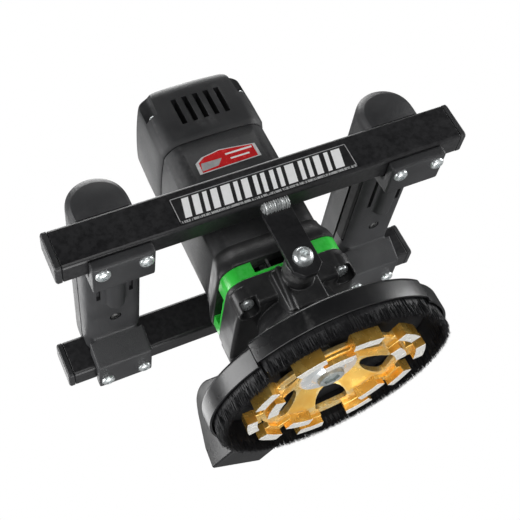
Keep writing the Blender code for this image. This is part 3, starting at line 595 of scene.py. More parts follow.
def fibre(points, faces, root, tip, radius, phase):
    """A tapering three-sided bristle, added to shared lists."""
    start = len(points)
    along = tip - root
    side = along.cross(Vector((1, 0.3, 0.1))).normalized()
    other = along.cross(side).normalized()
    for share, size in ((0, 1.0), (0.72, 0.9)):
        centre = root + along * share
        for k in range(3):
            angle = phase + math.tau * k / 3
            points.append(centre + (side * math.cos(angle) + other * math.sin(angle)) * radius * size)
    points.append(tip)
    for k in range(3):
        n = (k + 1) % 3
        faces.append((start + k, start + n, start + 3 + n, start + 3 + k))
        faces.append((start + 3 + k, start + 3 + n, start + 6))


def tufts(name, start, end, top, foot, inner, outer, seed):
    """Bundled bristles in rows between two radii, from angle start to end in degrees."""
    dice = random.Random(seed)
    points, faces = [], []
    rows, per_tuft = 4, 9
    for row in range(rows):
        radius = inner + (outer - inner) * (row + 0.5) / rows
        count = max(1, round(math.radians(end - start) * radius / 0.0024))
        for i in range(count):
            angle = math.radians(start + (end - start) * (i + 0.5 + 0.5 * (row % 2)) / (count + 0.5))
            lean = Vector((dice.gauss(0, 0.0007), dice.gauss(0, 0.0007), 0))
            for _ in range(per_tuft):
                spread = angle + dice.gauss(0, 0.0011) / radius
                reach = min(outer - 0.0002, max(inner + 0.0002, radius + dice.gauss(0, 0.0007)))
                root = SPINDLE + Vector((reach * math.cos(spread), reach * math.sin(spread), top))
                out = Vector((math.cos(spread), math.sin(spread), 0))
                tip = root + lean + out * dice.uniform(-0.0006, 0.0006)
                tip += Vector((dice.gauss(0, 0.0005), dice.gauss(0, 0.0005), 0))
                tip.z = foot + abs(dice.gauss(0, 0.0010))
                fibre(points, faces, root, tip, dice.uniform(0.00022, 0.00036), dice.uniform(0, 2))
    return new_mesh_raw(name, points, faces)


def brush(name, node, body, start, end, seed, looks):
    outer = half_width("brush_ring")
    inner = outer - BRUSH_DEPTH
    foot, top = low(node).z, high(node).z
    band = [(inner + 0.0014, foot + 0.0065), (outer - 0.0014, foot + 0.0065)]
    band += [(outer, foot + 0.0125), (outer, top), (inner, top), (inner, foot + 0.0125)]
    core = lathe("core", band, SPINDLE, 200, start=start + 0.5, end=end - 0.5)
    hair = tufts("hair", start + 1.2, end - 1.2, foot + 0.020, foot, inner, outer, seed)
    return fit(joined(name, [core, hair]), looks["bristle"], body, "bristle", node)


def make_brushes(looks):
    centre, half = -90.0, EDGE_HALF
    brush("brush_tufts", "brush_ring", "machine", centre + half, centre + 360 - half, 11, looks)
    brush("edge_brush_tufts", "edge_brush", "edge_flap", centre - half, centre + half, 12, looks)


# Cup wheel

GROUPS, FIRST_GROUP = 5, 117.0
OUTER_SEGMENT = (WHEEL_R * 0.880, WHEEL_R * 0.992)
INNER_SEGMENT = (WHEEL_R * 0.655, WHEEL_R * 0.775)


def polar(radius, degrees):
    angle = math.radians(degrees)
    return (SPINDLE.x + radius * math.cos(angle), SPINDLE.y + radius * math.sin(angle))


def arc(radius, start, end, steps=8):
    return [polar(radius, start + (end - start) * i / steps) for i in range(steps + 1)]


def window_outline(direction, steps=12):
    """A rounded arch: round towards the hub, wide and flat towards the rim."""
    hub, rim, wide, corner = WHEEL_R * 0.385, WHEEL_R * 0.690, 0.0165, 0.0050
    along = Vector((math.cos(math.radians(direction)), math.sin(math.radians(direction)), 0))
    across = Vector((-along.y, along.x, 0))
    points = []
    for i in range(steps + 1):
        turn = math.pi * (0.5 + i / steps)
        reach = rim - 0.006 + (rim - 0.006 - hub) * math.cos(turn)
        points.append((reach, wide * math.sin(turn)))
    for side in (-1, 1):
        for i in range(5):
            turn = math.pi / 2 * (i / 4 - (side < 0))
            reach = rim - corner + corner * math.cos(turn)
            points.append((reach, side * (wide - corner) + corner * math.sin(turn)))
    return [(SPINDLE + along * a + across * b).to_2d() for a, b in points]


def make_wheel_body(looks):
    """A dished cup: flat hub, cone, and a rim that ends inside the outer segments."""
    hub, cone, rim = WHEEL_R * 0.345, WHEEL_R * 0.64, WHEEL_R * 0.815
    profile = [(0.0043, 0.0210), (hub, 0.0210), (hub + 0.002, 0.0204)]
    profile += [(cone - 0.003, 0.0112), (cone, 0.0102), (rim, 0.0094), (rim + 0.0006, 0.0102)]
    profile += [(rim + 0.0006, 0.0132), (rim, 0.0140)]
    profile += [(cone + 0.004, 0.0145), (hub + 0.005, 0.0234), (hub + 0.003, 0.0240), (0.0043, 0.0240)]
    body = lathe("wheel_body", profile, SPINDLE, 160)
    cutters = []
    for k in range(GROUPS):
        outline = window_outline(FIRST_GROUP + 36 + 72 * k)
        cutters.append(slab("window", outline, 0.0, 0.040))
    cut(body, *cutters)
    smooth(body, 30)
    bevelled(body, 0.0007, 2, 40)
    fit(body, looks["wheel_gold"], "spindle_group", "wheel_gold", "cup_wheel")


def ring_piece(direction, inner, outer, half):
    return arc(outer, direction - half, direction + half) + arc(inner, direction + half, direction - half)


def land_outline(direction):
    """The raised base of one group: a root for the inner segment and an arm for each outer one."""
    points = []
    for side in (1, -1):
        arm = arc(OUTER_SEGMENT[1] - 0.0003, direction + side * 9.0, direction + side * 27.0)
        arm += arc(WHEEL_R * 0.82, direction + side * 27.0, direction + side * 15.0)
        arm += arc(INNER_SEGMENT[0] + 0.0003, direction + side * 12.5, direction, 4)
        points = arm + points if side > 0 else points + arm[::-1]
    return points + arc(WHEEL_R * 0.80, direction - 9.0, direction + 9.0, 6)


def make_segments(looks):
    """Ten outer and five inner blocks, lacquered on their sides and ground at their lower ends."""
    lands, blocks = [], []
    places = ((-18, OUTER_SEGMENT, 9.3), (18, OUTER_SEGMENT, 9.3), (0, INNER_SEGMENT, 12.3))
    for k in range(GROUPS):
        direction = FIRST_GROUP - 72 * k
        lands.append(slab("land", land_outline(direction), 0.0062, 0.0126))
        for turn, span, half in places:
            outline = ring_piece(direction + turn, *span, half)
            blocks.append(slab("segment", outline, WHEEL_TIP, 0.0128))
    base = smooth(joined("segment_lands", lands), 30)
    bevelled(base, 0.0007, 2)
    fit(base, looks["wheel_gold"], "spindle_group", "wheel_gold")
    tips = smooth(joined("diamond_segments", blocks), 30)
    bevelled(tips, 0.0004, 2)
    fit(tips, looks["segment"], "spindle_group", "wheel_gold")


def make_flange(looks):
    """A polished disc with a raised cone, and the clamping screw's head with its hexagon socket."""
    lowest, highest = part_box("clamp_flange")
    radius, bottom, top = (highest.x - lowest.x) / 2, lowest.z, highest.z
    cone = radius * 0.60
    profile = [(0.0052, bottom - 0.0022), (cone - 0.003, bottom - 0.0022), (cone - 0.0020, bottom - 0.0016)]
    profile += [(cone, bottom), (radius - 0.0014, bottom), (radius, bottom + 0.0010)]
    profile += [(radius, top), (0.0052, top)]
    flange = lathe("flange_disc", profile, SPINDLE, 128)
    smooth(flange, 25)
    fit(flange, looks["steel"], "spindle_group", "steel", "clamp_flange")
    lowest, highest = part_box("clamp_screw")
    rim, height, socket = radius * 0.45, 0.0050, radius * 0.29
    profile = [(0, 0), (rim, 0), (rim, height * 0.7), (rim * 0.94, height), (0, height)]
    screw = lathe("clamp_screw_head", profile, steps=64)
    hexagon = [(socket * math.cos(math.tau * i / 6), socket * math.sin(math.tau * i / 6)) for i in range(6)]
    cut(screw, slab("hexagon", hexagon, 0.0022, 0.02))
    dimple = [(0, 0.0004), (0.0018, 0.0004), (0.0022, 0.03), (0, 0.03)]
    cut(screw, lathe("dimple", dimple, steps=24))
    smooth(screw, 30)
    bevelled(screw, 0.0002, 2)
    flip = Matrix.Rotation(math.pi, 4, "X")
    screw.data.transform(Matrix.Translation((SPINDLE.x, SPINDLE.y, lowest.z + height)) @ flip)
    fit(screw, looks["steel_dark"], "spindle_group", "steel", "clamp_screw")


# Grips


def make_grip_shells(looks):
    """Upper half of each grip: straight low sides, a round top, and ends that round over."""
    steps, curl = 44, 0.0145
    for node in ("left_grip_upper", "right_grip_upper"):
        lowest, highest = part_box(node)
        x, half, base = (lowest.x + highest.x) / 2, (highest.x - lowest.x) / 2, lowest.z
        shoulder = base + 0.008
        stations = []
        for i in range(11):
            depth = curl * (i / 10) ** 1.6
            droop = (1 - depth / curl) ** 3.2
            stations.append((depth, 1 - 0.17 * droop, 1 - 0.24 * droop))
        ordered = [(lowest.y + d, w, h) for d, w, h in stations]
        ordered += [(highest.y - d, w, h) for d, w, h in reversed(stations)]
        rings = []
        for y, w, h in ordered:
            rise = base + (highest.z - base) * h - shoulder
            ring = [(x - half * w, y, base), (x + half * w, y, base)]
            for i in range(steps + 1):
                angle = math.pi * i / steps
                ring.append((x + half * w * math.cos(angle), y, shoulder + rise * math.sin(angle) ** 0.8))
            rings.append(ring)
        grip = smooth(loft(node + "_shell", rings), 50)
        bevelled(grip, 0.0012, 3, 50)
        fit(grip, looks["grip_plastic"], "machine", "grip_plastic", node)


def grip_section(x, half, floor, roof, edge, y):
    """Section of a grip's underside: flat top, and long lower edges rounded by edge."""
    ring = [(x + half, y, roof), (x - half, y, roof)]
    for side, start in ((-1, 180), (1, 270)):
        for i in range(11):
            angle = math.radians(start + 9 * i)
            across = x + side * (half - edge) + edge * math.cos(angle)
            ring.append((across, y, floor + edge + edge * math.sin(angle)))
    return ring


def make_grip_undersides(looks):
    """Lower half of each grip: a foot under each tube, a half-round rib, slots and a sunk screw hole."""
    front, back = high("front_rail").y + 0.0003, low("rear_rail").y - 0.0003
    under, roof = RAIL_LOW.z - 0.0003, RAIL_HIGH.z - 0.0003
    for node in ("left_grip_lower", "right_grip_lower"):
        lowest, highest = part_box(node)
        x, half, foot = (lowest.x + highest.x) / 2, (highest.x - lowest.x) / 2, lowest.z
        rings = [grip_section(x, half, GRIP_FLOOR, roof, 0.012, y) for y in (front, back)]
        grip = loft("underside", rings)
        for start, end, slope in ((lowest.y, front + 0.0150, 0.003), (back - 0.017, highest.y, -0.011)):
            points = rectangle(start, foot, end, under)
            if slope > 0:
                points[2] = (end + slope, under + 0.014)
                points.insert(3, (start + 0.026, under + 0.014))
                points.insert(4, (start + 0.026, under))
            else:
                points[3] = (start + slope, under + 0.016)
                points.insert(3, (end - 0.0305, under + 0.016))
                points.insert(3, (end - 0.0305, under))
            ends = [[(side, y, z) for y, z in points] for side in (x - half, x + half)]
            added(grip, loft("foot", ends))
        rib_start, rib_end = (x, front + 0.006, GRIP_FLOOR), (x, SPINDLE.y + 0.030, GRIP_FLOOR)
        added(grip, rod("rib", 0.0095, rib_start, rib_end))
        melted(grip, 0.0011, 16)
        for side in (-1, 1):
            across = x + side * 0.0160
            slot_low = (across - 0.0020, front + 0.012, GRIP_FLOOR - 0.01)
            cut(grip, block("slot", slot_low, (across + 0.0020, SPINDLE.y + 0.019, GRIP_FLOOR + 0.004)))
        hole = middle(node.replace("lower", "screw"))
        cut(grip, rod("hole", 0.0060, (x, hole.y, GRIP_FLOOR - 0.01), (x, hole.y, GRIP_FLOOR + 0.0040)))
        for rail in ("front_rail", "rear_rail"):
            tube_low, tube_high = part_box(rail)
            gap = Vector((0, 0.0003, 0.0003))
            reach_low, reach_high = tube_low - gap, tube_high + gap
            tube_end = (x + 0.05, reach_high.y, reach_high.z)
            cut(grip, block("tube", (x - 0.05, reach_low.y, reach_low.z), tube_end))
        if node.startswith("right"):
            paddle_low, paddle_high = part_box("switch_paddle")
            slot_low = (paddle_low.x - 0.004, paddle_low.y - 0.0012, paddle_low.z - 0.0012)
            slot_high = (x - half + 0.0140, paddle_high.y + 0.0012, paddle_high.z + 0.0012)
            cut(grip, block("slot", slot_low, slot_high))
        smooth(grip, 45)
        fit(grip, looks["grip_plastic"], "machine", "grip_plastic", node)


# Motor


def square_ring(half, corner, bulge, z, steps=12, side_steps=8):
    """A square outline about the motor's axis with round corners and slightly bowed sides."""
    points = []
    for quarter in range(4):
        turn = Matrix.Rotation(math.pi / 2 * quarter, 2)
        flat = half - corner
        for i in range(side_steps):
            points.append(turn @ Vector((half, flat * (2 * i / side_steps - 1))))
        for i in range(steps):
            angle = math.pi / 2 * i / steps
            points.append(turn @ Vector((flat + corner * math.cos(angle), flat + corner * math.sin(angle))))
    ring = []
    for point in points:
        near = min(abs(point.x), abs(point.y)) / half
        shrink = 1 - bulge / half * near * near
        ring.append((MOTOR.x + point.x * shrink, MOTOR.y + point.y * shrink, z))
    return ring


def shell(name, levels, corner, bulge):
    """A closed skin through (height, half width) levels."""
    rings = [square_ring(half, corner, bulge, z) for z, half in levels]
    return loft(name, rings)


def fillet(z, half, rise, inset, steps=6):
    """Levels that round a shell's end over by inset within rise."""
    levels = []
    for i in range(1, steps + 1):
        angle = math.pi / 2 * i / steps
        levels.append((z + rise * math.sin(angle), half - inset * (1 - math.cos(angle))))
    return levels


def hollow(thing, radius, bottom, top):
    return cut(thing, lathe("room", rectangle(0, bottom, radius, top), MOTOR, 64))


def make_motor(looks):
    lowest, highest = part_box("motor_housing")
    half = half_width("motor_housing")
    levels = [(lowest.z, half - 0.0006), (lowest.z + 0.0010, half), (highest.z - 0.0010, half)]
    levels.append((highest.z, half - 0.0008))
    housing = shell("motor_shell", levels, 0.017, 0.003)
    hollow(housing, 0.0465, lowest.z - 0.01, highest.z + 0.01)
    smooth(housing, 40)
    bevelled(housing, 0.0005, 2, 50)
    fit(housing, looks["motor_plastic"], "machine", "motor_plastic", "motor_housing")
    make_cap(looks)


def make_cap(looks):
    """Cap over the brushes: air slots in two sides, and corners cut away down to ledges with screws."""
    lowest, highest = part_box("rear_cap")
    half = half_width("rear_cap")
    levels = [(lowest.z, half - 0.0024), (lowest.z + 0.0012, half - 0.0016), (lowest.z + 0.0060, half)]
    levels += [(lowest.z + 0.030, half), (highest.z - 0.0150, half - 0.0008)]
    levels += fillet(highest.z - 0.0150, half - 0.0008, 0.0150, 0.0120, 9)
    cap = shell("cap_shell", levels, 0.018, 0.003)
    hollow(cap, 0.0465, lowest.z - 0.01, highest.z - 0.0075)
    for index in range(5):
        x = MOTOR.x + (index - 2) * VENT_PITCH
        for near, far in ((-0.07, -0.03), (0.03, 0.07)):
            foot = (x - VENT_HALF, MOTOR.y + near, VENT_LOW)
            cut(cap, block("slot", foot, (x + VENT_HALF, MOTOR.y + far, VENT_HIGH)))
    screws = []
    for sx in (-1, 1):
        for sy in (-1, 1):
            spot = (MOTOR.x + sx * NOTCH_SPOT, MOTOR.y + sy * NOTCH_SPOT, 0)
            well = [(0, NOTCH_LOW), (0.0080, NOTCH_LOW), (0.0092, highest.z + 0.01), (0, highest.z + 0.01)]
            cut(cap, lathe("well", well, spot, 40))
            screws.append((spot[0] - sx * 0.0012, spot[1] - sy * 0.0012, NOTCH_LOW))
    smooth(cap, 35)
    bevelled(cap, 0.0007, 2, 40)
    fit(cap, looks["motor_plastic"], "machine", "motor_plastic", "rear_cap")
    for index, seat in enumerate(screws):
        place_head(f"cap_screw_{index}", 0.0040, 0.0026, seat, (0, 0, 1), looks, "machine", turn=25 * index)
    boss = rectangle(0.0135, 0.300, 0.0180, highest.z - 0.008)
    ring = smooth(lathe("cap_bearing_seat", boss, MOTOR, 64))
    fit(ring, looks["motor_plastic"], "machine", "motor_plastic")


def make_bell(looks):
    """Flange below the motor, rounded over to the motor's width."""
    lowest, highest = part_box("bearing_bell")
    half, slim = half_width("bearing_bell"), half_width("motor_housing")
    levels = [(lowest.z, half - 0.0006), (lowest.z + 0.0008, half), (lowest.z + 0.0040, half)]
    start, steps = lowest.z + 0.0040, 12
    for i in range(1, steps + 1):
        share = i / steps
        blend = (1 - math.cos(math.pi * share)) / 2
        levels.append((start + (highest.z - start) * share, half + (slim + 0.0002 - half) * blend))
    bell = shell("bell_shell", levels, 0.018, 0.001)
    hollow(bell, 0.0475, lowest.z - 0.01, highest.z + 0.01)
    smooth(bell, 40)
    bevelled(bell, 0.0005, 2, 50)
    fit(bell, looks["cast_black"], "machine", "cast_black", "bearing_bell")


def make_vent_ring(looks):
    lowest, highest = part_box("vent_ring")
    half = half_width("vent_ring")
    levels = [(lowest.z, half - 0.0005), (lowest.z + 0.0006, half), (highest.z - 0.0006, half)]
    levels.append((highest.z, half - 0.0005))
    ring = shell("ring_shell", levels, 0.017, 0.001)
    hollow(ring, 0.0500, lowest.z - 0.01, highest.z + 0.01)
    floor, roof = lowest.z + 0.0030, highest.z + 0.01
    for reach_x, reach_y in ((0.08, 0.0265), (0.0305, 0.08)):
        corner = (MOTOR.x + reach_x, MOTOR.y + reach_y, roof)
        cut(ring, block("window", (MOTOR.x - reach_x, MOTOR.y - reach_y, floor), corner))
    smooth(ring, 35)
    bevelled(ring, 0.0006, 2, 45)
    fit(ring, looks["green_plastic"], "machine", "green_plastic", "vent_ring")
    ribs = []
    for side in (-1, 1):
        for x in (-0.014, 0.014):
            edge = sorted((MOTOR.y + side * 0.0510, MOTOR.y + side * 0.0545))
            rib_top = (x + 0.0012, edge[1], highest.z - 0.0003)
            ribs.append(block("rib", (x - 0.0012, edge[0], floor), rib_top))
    fit(joined("window_ribs", ribs), looks["cast_black"], "machine", "cast_black")


def make_gear_housing(looks):
    """Cast housing: square case, conical neck, front block with a rib, two bosses and four screw pockets."""
    top = high("gear_housing").z
    half = half_width("bearing_bell")
    bottom, seat = low("gear_housing").z + CASE_RISE, low("case_screw_front_left").z + CASE_SEAT
    levels = [(bottom, half - 0.0035), (bottom + 0.0008, half - 0.0018), (bottom + 0.0028, half - 0.0003)]
    levels += [(bottom + 0.0050, half), (top, half)]
    case = shell("gear_case", levels, 0.018, 0.001)
    foot = low("gear_housing").z
    neck = [(0, foot), (0.0600, foot), (0.0596, foot + 0.004), (0.0575, foot + 0.010)]
    neck += [(0.0500, foot + 0.0205), (0.0425, foot + 0.0310), (0.0385, foot + 0.0400)]
    neck += [(0.0360, foot + 0.048), (0, foot + 0.048)]
    added(case, lathe("neck", neck, SPINDLE, 120))
    face = SPINDLE.y - BLOCK_REACH
    front = block("front_block", (-0.0215, face, 0.0670), (0.0175, SPINDLE.y, top - 0.0055))
    added(case, baked(bevelled(front, 0.0022, 3)))
    rib = rod("rib", 0.0028, (-0.0170, face + 0.0004, 0.0665), (-0.0134, face + 0.0004, top - 0.004))
    added(case, rib)
    bolt = middle("front_bracket_bolt")
    near, far = high("front_bracket").y + 0.0003, low("rear_bracket").y - 0.0003
    added(case, rod("boss", 0.0146, (bolt.x, near, bolt.z), (bolt.x, SPINDLE.y, bolt.z)))
    rear = (bolt.x, MOTOR.y + 0.050, bolt.z)
    added(case, rod("boss", 0.0150, rear, (bolt.x, far, bolt.z)))
    for sx in (-1, 1):
        for sy in (-1, 1):
            screw = middle("case_screw_%s_%s" % (("front", "rear")[sy > 0], ("left", "right")[sx > 0]))
            lip = rod("lip", 0.0112, (screw.x, screw.y, bottom - 0.0008), (screw.x, screw.y, top - 0.006))
            added(case, lip)
            cut(case, rod("pocket", 0.0089, (screw.x, screw.y, 0.05), (screw.x, screw.y, seat)))
            opened = sorted((screw.y, screw.y + sy * 0.03))
            near_corner = (screw.x - 0.0080, opened[0], 0.05)
            far_corner = (screw.x + 0.0080, opened[1], seat - 0.0004)
            cut(case, block("pocket_front", near_corner, far_corner))
    room = SPINDLE + Vector((0, 0.011, 0))
    room_floor, room_roof = Vector((0, 0, bottom + 0.002)), Vector((0, 0, top + 0.01))
    cut(case, rod("gear_room", 0.042, room + room_floor, room + room_roof))
    cut(case, rod("bore", 0.0125, SPINDLE + Vector((0, 0, 0.03)), SPINDLE + Vector((0, 0, 0.1))))
    melted(case, 0.0007, 5)
    smooth(case, 180)
    fit(case, looks["cast_black"], "machine", "cast_black", "gear_housing")


# Hood

HOOD_R = half_width("edge_segment") / math.sin(math.radians(EDGE_HALF))
HOOD_BAND = low("dust_hood").z


def band_profile(edge, inner, shoulder):
    """The hood's upright band from its inner lower edge, rounded over at the top."""
    profile = [(inner, HOOD_BAND), (edge - 0.0004, HOOD_BAND), (edge, HOOD_BAND + 0.0005), (edge, shoulder)]
    for i in range(1, 6):
        angle = math.pi / 2 * i / 5
        profile.append((edge - 0.0030 * (1 - math.cos(angle)), shoulder + 0.0035 * math.sin(angle)))
    return profile


def make_hood(looks):
    """Round hood with its collar and its sloping duct, open at the front for the movable segment."""
    edge, inner = HOOD_R, HOOD_R - 0.0022
    top = HOOD_TOP_FACE
    profile = band_profile(edge, inner, top - 0.0035)
    profile += [(0.0680, top + 0.0024), (0.0660, top + 0.0032), (0.0642, top + 0.0080)]
    profile += [(0.0400, top + 0.0080), (0.0400, top), (0.0620, top - 0.0010)]
    profile += [(inner - 0.003, top - 0.0030), (inner, top - 0.0045)]
    hood = lathe("hood_shell", profile, SPINDLE, 220)
    duct = duct_shell()
    wall = inner + 0.0009
    room = [(0.0, 0.0), (wall, 0.0), (wall, top - 0.0040), (wall - 0.003, top - 0.0012), (0.0, top - 0.0012)]
    cut(duct, lathe("room", room, SPINDLE, 220))
    added(hood, duct)
    cut(hood, duct_hollow())
    mouth = rectangle(0, 0.150, 0.0190, 0.195)
    cut(hood, on_duct(lathe("mouth", mouth, steps=64), 0.028, 0.046))
    half = EDGE_HALF + 0.25
    gap = rectangle(0.1050, 0.0, 0.13, 0.06)
    cut(hood, lathe("gap", gap, SPINDLE, 60, start=-90 - half, end=-90 + half))
    smooth(hood, 28)
    bevelled(hood, 0.0006, 2, 40)
    fit(hood, looks["hood_plastic"], "machine", "cast_black", "dust_hood")
    lift = low("edge_segment").z - HOOD_BAND
    split = 0.1055
    profile = band_profile(edge, inner, top - 0.0040)
    profile += [(split, top - 0.0002), (split, top - 0.0027), (inner, top - 0.0030)]
    lifted = [(radius, z + lift) for radius, z in profile]
    segment = lathe("edge_shell", lifted, SPINDLE, 80, start=-90 - EDGE_HALF, end=-90 + EDGE_HALF)
    smooth(segment, 28)
    bevelled(segment, 0.0005, 2, 40)
    fit(segment, looks["hood_plastic"], "edge_flap", "cast_black", "edge_segment")


def duct_axes():
    out = Vector((-math.sin(DUCT_TURN), math.cos(DUCT_TURN), 0))
    across = Vector((math.cos(DUCT_TURN), math.sin(DUCT_TURN), 0))
    return out, across


def on_duct(thing, shift, height):
    """Turns a shape made about +Z so that it points out of the duct."""
    out, across = duct_axes()
    turn = Matrix((across, Vector((0, 0, 1)), out)).transposed().to_4x4()
    thing.data.transform(Matrix.Translation(SPINDLE + across * shift + Vector((0, 0, height))) @ turn)
    return thing


def duct_body(name, outline, near, far, steps=6):
    """A side outline of (distance out, height) carried across the duct under its falling roof."""
    out, across = duct_axes()
    floor, rings = outline[0][1], []
    for i in range(steps + 1):
        shift = near + (far - near) * i / steps
        keep = 1 - DUCT_FALL * (shift - DUCT_LOW) / (DUCT_HIGH - DUCT_LOW)
        start = SPINDLE + across * shift
        rings.append([start + out * e + Vector((0, 0, floor + (z - floor) * keep)) for e, z in outline])
    return loft(name, rings)


def duct_shell():
    shell_outline = [(0.100, 0.018), (0.1765, 0.018), (0.1745, 0.040), (0.1640, 0.074)]
    centre, reach = Vector((0.1395, 0.0745)), Vector((0.0225, 0.0215))
    for i in range(1, 12):
        angle = math.radians(12 + 100 * i / 11)
        shell_outline.append((centre.x + reach.x * math.cos(angle), centre.y + reach.y * math.sin(angle)))
    shell_outline.append((0.100, 0.0850))
    body = duct_body("duct", shell_outline, DUCT_LOW, DUCT_HIGH)
    return baked(bevelled(body, 0.0022, 4, 40))


def duct_hollow():
    inside = [(0.090, 0.0235), (0.1730, 0.0212), (0.1713, 0.0392), (0.1611, 0.0727), (0.1540, 0.0845)]
    inside += [(0.1450, 0.0900), (0.1350, 0.0905), (0.1256, 0.0895), (0.1035, 0.0828), (0.1035, 0.0310)]
    return duct_body("duct_room", inside + [(0.090, 0.0310)], DUCT_LOW + 0.003, DUCT_HIGH - 0.003)


# Label and sticker


def front_plate(name, outline, face, back, front):
    """A thin plate on an (x, z) outline, between two distances in front of a face that looks along -Y."""
    thing = slab(name, outline, back, front)
    thing.data.transform(Matrix.Translation((0, face, 0)) @ Matrix.Rotation(math.radians(90), 4, "X"))
    return thing


def make_label(looks):
    """A dark plate with bold slanted bars, a thin frame and a hatched lower edge. It carries no letters."""
    face = RAIL_LOW.y
    left, right = -0.0875, 0.0855
    bottom, top = RAIL_LOW.z + 0.0045, RAIL_LOW.z + 0.0310

    plate = front_plate("label_plate", rectangle(left, bottom, right, top), face, 0, 0.0003)
    fit(plate, looks["label_black"], "machine", "rail_paint")
    marks = []
    dice = random.Random(7)
    x, floor_z, roof_z = left + 0.006, bottom + 0.0042, top - 0.0024
    while x < right - 0.014:
        width, lean = dice.choice((0.0042, 0.0064, 0.0090)), 0.0040
        outline = [(x, floor_z), (x + width, floor_z), (x + width + lean, roof_z), (x + lean, roof_z)]
        marks.append(front_plate("mark", outline, face, 0.0003, 0.0004))
        x += width + dice.choice((0.0034, 0.0046))
    fit(joined("label_marks", marks), looks["label_white"], "machine", "rail_paint")
    edge = 0.0007
    rims = [rectangle(left, top - edge, right, top), rectangle(left, bottom, left + edge, top)]
    rims.append(rectangle(right - edge, bottom, right, top))
    frame_lines = [front_plate("rim", outline, face, 0.0003, 0.0004) for outline in rims]
    fit(joined("label_frame", frame_lines), looks["label_grey"], "machine", "rail_paint")
    hatch_outline = rectangle(left, bottom, right, bottom + 0.0024)
    strip = front_plate("label_hatch", hatch_outline, face, 0.0003, 0.0004)
    fit(strip, looks["label_hatch"], "machine", "rail_paint")


def make_sticker(looks):
    """A small red plate with a silver rim and a pale wedge on the motor's front."""
    face = low("motor_housing").y - 0.0002
    outline = [(-0.033, 0.2365), (0.032, 0.2375), (0.0315, 0.2530), (0.010, 0.2560), (-0.005, 0.2578)]
    outline += [(-0.0243, 0.2548), (-0.0325, 0.2495)]
    centre = Vector((0, 0.247))

    def plate(name, shrink, back, front, points=outline):
        inner = [tuple(centre + (Vector(p) - centre) * shrink) for p in points]
        return front_plate(name, inner, face, back, front)

    fit(plate("sticker_rim", 1.0, 0, 0.0003), looks["sticker_silver"], "machine", "motor_plastic")
    fit(plate("sticker_field", 0.90, 0.0002, 0.00045), looks["sticker_red"], "machine", "motor_plastic")
    wedge = [(-0.0295, 0.2390), (-0.012, 0.2405), (-0.006, 0.2475), (-0.0275, 0.2480)]
    fit(plate("sticker_wedge", 1.0, 0.0004, 0.0006, wedge), looks["label_grey"], "machine", "motor_plastic")
    bars = []
    for x0, x1, z0, z1 in ((-0.001, 0.027, 0.2492, 0.2512), (0.002, 0.022, 0.2432, 0.2450)):
        bars.append(plate("bar", 1.0, 0.0004, 0.0006, rectangle(x0, z0, x1, z1)))
    fit(joined("sticker_bars", bars), looks["label_white"], "machine", "motor_plastic")


def make_welds(looks):
    """A lumpy fillet of weld metal under each tube, in front of its bracket."""
    dice = random.Random(9)
    for node, rail, side in (("front_bracket", "front_rail", -1), ("rear_bracket", "rear_rail", 1)):
        lowest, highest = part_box(node)
        face = lowest.y if side < 0 else highest.y
        roof = low(rail).z
        rings, count = [], 60
        for i in range(count + 1):
            share = i / count
            x = lowest.x + 0.0008 + (highest.x - lowest.x - 0.0016) * share
            leg = 0.0088 + 0.0011 * math.sin(share * 75) + dice.uniform(-0.0006, 0.0006)
            leg *= min(1, 0.55 + 9 * share, 0.55 + 9 * (1 - share))
            ring = [(x, face - side * 0.001, roof + 0.0003), (x, face - side * 0.001, roof - leg)]
            for k in range(9):
                angle = math.pi / 2 * k / 8
                reach = leg * (0.82 + 0.12 * math.sin(angle * 2)) + dice.uniform(-0.0002, 0.0002)
                ring.append((x, face + side * reach * math.sin(angle), roof - reach * math.cos(angle)))
            ring.append((x, face + side * leg * 0.8, roof + 0.0003))
            rings.append(ring)
        bead = smooth(loft(node + "_weld", rings), 70)
        fit(bead, looks["weld"], "machine", "zinc_plate")


def make_spacer(looks):
    """Round dark spacers between the brackets and the gear housing's bosses."""
    for node, end in (("front_bracket", "front"), ("rear_bracket", "rear")):
        lowest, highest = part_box(node)
        bolt = middle(end + "_bracket_bolt")
        start = highest.y if end == "front" else lowest.y
        side = 1 if end == "front" else -1
        profile = [(0.0060, 0.0002), (0.0145, 0.0002), (0.0152, 0.0010), (0.0152, 0.0150), (0.0060, 0.0150)]
        thing = lathe(end + "_spacer", [(r, -side * h) for r, h in profile], steps=72, axis="Y")
        thing.data.transform(Matrix.Translation((bolt.x, start, bolt.z)))
        smooth(thing, 40)
        fit(thing, looks["cast_black"], "machine", "cast_black")


# CAD nodes that stay


def dress_nodes(looks):
    slots = {m["slot"] for m in frame["record"]["materials"]}
    for node, thing in NODES.items():
        name = thing.active_material.name.split(".")[0] if thing.active_material else "steel"
        look = looks.get(name if name in slots else "steel")
        if node in ("dust_hood", "edge_segment"):
            look = looks["hood_plastic"]
        dress(node, look)


def shape_nodes():
    for node in ("front_rail", "rear_rail"):
        softened(node, 0.0016)
    for node in ("front_bracket", "rear_bracket"):
        softened(node, 0.0007, 2)
    for node in NODES:
        if "rail_plug" in node:
            softened(node, 0.0012)
    softened("switch_paddle", 0.0010, 2)


# Studio


def make_camera():
    """A long lens, low at the front left, that looks up at the object and is rolled to one side."""
    place = Vector((-0.29232, -0.84241, -0.25109))
    heading, rise, roll = -19.347, 24.894, -27.717
    data = bpy.data.cameras.new("camera")
    data.lens, data.sensor_width, data.clip_start = 69.14, 36, 0.05
    camera = placed("camera", data)
    turn = Matrix.Rotation(math.radians(heading), 4, "Z")
    turn = turn @ Matrix.Rotation(math.radians(90 + rise), 4, "X")
    turn = turn @ Matrix.Rotation(math.radians(roll), 4, "Z")
    camera.matrix_world = Matrix.Translation(place) @ turn
    bpy.context.scene.camera = camera


